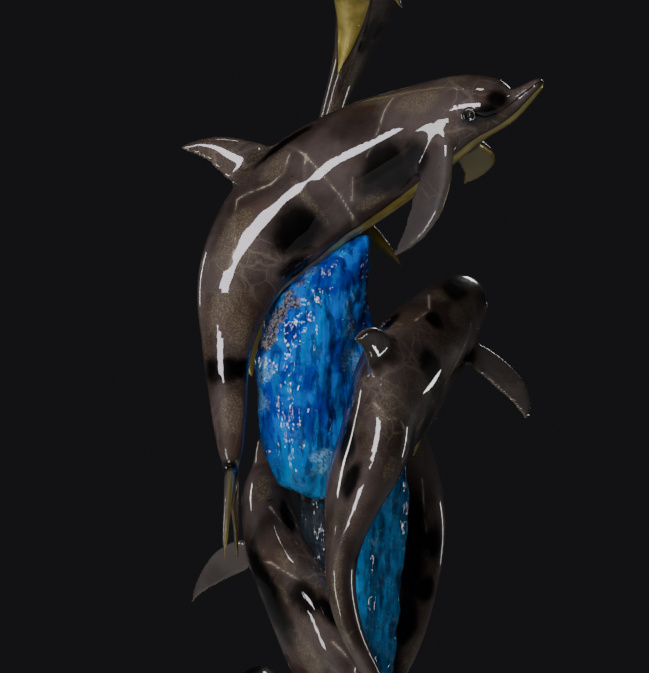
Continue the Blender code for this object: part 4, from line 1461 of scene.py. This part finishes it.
def blackGranite(patches):
    material, tree, shader = newMaterial("blackGranite", coatRoughness=0.06)
    place = objectPlace(tree)
    grain = useGroup(tree, patches, {"Place": place, "Scale": 420.0, "Low": 0.55, "High": 0.7})
    cloud = useGroup(tree, patches, {"Place": place, "Scale": 40.0, "Low": 0.4, "High": 0.7})
    colours, look = graniteColours, graniteLook
    colour = blend(tree, cloud, colours["black"], colours["cloud"])
    shown = maths(tree, "MULTIPLY", grain, look["grainShare"])
    colour = blend(tree, shown, colour, colours["grain"])
    flake = useGroup(tree, patches, {"Place": place, "Scale": 900.0, "Low": 0.66, "High": 0.74})
    colour = blend(tree, flake, colour, colours["flake"])
    tree.links.new(colour, shader.inputs["Base Color"])
    rough = blendValue(tree, grain, look["polish"], look["grainRoughness"])
    tree.links.new(rough, shader.inputs["Roughness"])
    addBump(tree, shader, ((grain, look["grainDepth"]),))
    return material


print("Mixing the finishes")
patches, veins = patchesGroup(), veinsGroup()
patina = dolphinPatina(patches, veins)
enamel = waveEnamel(patches, veins)
granite = blackGranite(patches)

print("Shaping the dolphins")
for nodeName, pose in swimPoses.items():
    dolphin = makeDolphin(nodeName, pose, patina)
    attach(dolphin, "root")
    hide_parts(nodeName)

print("Shaping the wave")
wave = makeWave(enamel)
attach(wave, "root")
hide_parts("wave")

print("Turning the plinth")
plinth = makePlinth(granite)
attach(plinth, "root")
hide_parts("plinth")

stageSizes = {
    "floorRadius": 2.2,
    "floorSides": 96,
    "cameraDistance": 4.0,
    "cameraHeight": 0.6635,
    "cameraAcross": -0.0105,
    "frameHeight": 0.673,     # what the photograph's height spans at the statue
    "sensorWidth": 36,        # in millimetres
    "floorColour": (0.62, 0.62, 0.61),
    "floorRoughness": 0.7,
    "roomColour": (0.0095, 0.0095, 0.0110),
}
# Soft lamps: where each stands, what it faces, its width and height in metres and its watts
softboxes = {
    "keySoftbox": ((-0.63, -1.05, 1.085), (0.0, -0.1, 0.72), (0.35, 0.20), 5.2),
    "lowStrip": ((-0.80, -0.95, 0.42), (-0.02, -0.05, 0.40), (0.13, 0.50), 3.6),
    "rimStrip": ((1.0, 0.45, 0.52), (0.11, 0.08, 0.50), (0.06, 0.30), 0.8),
    "leftStrip": ((-1.1, 0.40, 1.0), (-0.01, 0.02, 0.90), (0.10, 0.30), 1.6),
    "topSoftbox": ((-0.30, -0.60, 1.95), (0.0, 0.0, 0.85), (0.22, 0.14), 1.6),
    "backSoftbox": ((0.55, 1.5, 1.30), (0.05, 0.0, 0.65), (0.30, 0.20), 1.2),
    "fillSoftbox": ((-0.9, -3.2, 1.6), (0.0, 0.0, 0.6), (2.4, 1.8), 42),
}
tintedLamps = {"keySoftbox": (0.94, 0.90, 1.0)}
unmirroredLamps = ("fillSoftbox",)   # its reflection would veil the lacquer


def makeFloor():
    mesh = bpy.data.meshes.new("studioFloor")
    work = bmesh.new()
    bmesh.ops.create_circle(
        work, cap_ends=True, segments=stageSizes["floorSides"], radius=stageSizes["floorRadius"]
    )
    work.to_mesh(mesh)
    work.free()
    material = bpy.data.materials.new("paleFloor")
    material.use_nodes = True
    shader = material.node_tree.nodes["Principled BSDF"]
    shader.inputs["Base Color"].default_value = (*stageSizes["floorColour"], 1.0)
    shader.inputs["Roughness"].default_value = stageSizes["floorRoughness"]
    mesh.materials.append(material)
    floor = bpy.data.objects.new("studioFloor", mesh)
    bpy.context.scene.collection.objects.link(floor)


def addSoftbox(name, place, target, size, power):
    data = bpy.data.lights.new(name, "AREA")
    data.shape = "RECTANGLE"
    data.size, data.size_y = size
    data.energy = power
    data.color = tintedLamps.get(name, (1.0, 1.0, 1.0))
    lamp = bpy.data.objects.new(name, data)
    lamp.visible_camera = False
    lamp.visible_glossy = name not in unmirroredLamps
    bpy.context.scene.collection.objects.link(lamp)
    lamp.location = place
    lamp.rotation_euler = (Vector(target) - Vector(place)).to_track_quat("-Z", "Y").to_euler()


print("Lighting and framing")
makeFloor()
for name, lamp in softboxes.items():
    addSoftbox(name, *lamp)

world = bpy.data.worlds.new("dimStudio")
world.use_nodes = True
background = world.node_tree.nodes["Background"]
background.inputs["Color"].default_value = (*stageSizes["roomColour"], 1.0)
bpy.context.scene.world = world

cameraData = bpy.data.cameras.new("photoCamera")
cameraData.sensor_width = stageSizes["sensorWidth"]
cameraData.lens = (
    stageSizes["sensorWidth"] * stageSizes["cameraDistance"] / stageSizes["frameHeight"]
)
camera = bpy.data.objects.new("photoCamera", cameraData)
camera.location = (
    stageSizes["cameraAcross"], -stageSizes["cameraDistance"], stageSizes["cameraHeight"]
)
camera.rotation_euler = (math.radians(90), 0, 0)
bpy.context.scene.collection.objects.link(camera)
bpy.context.scene.camera = camera
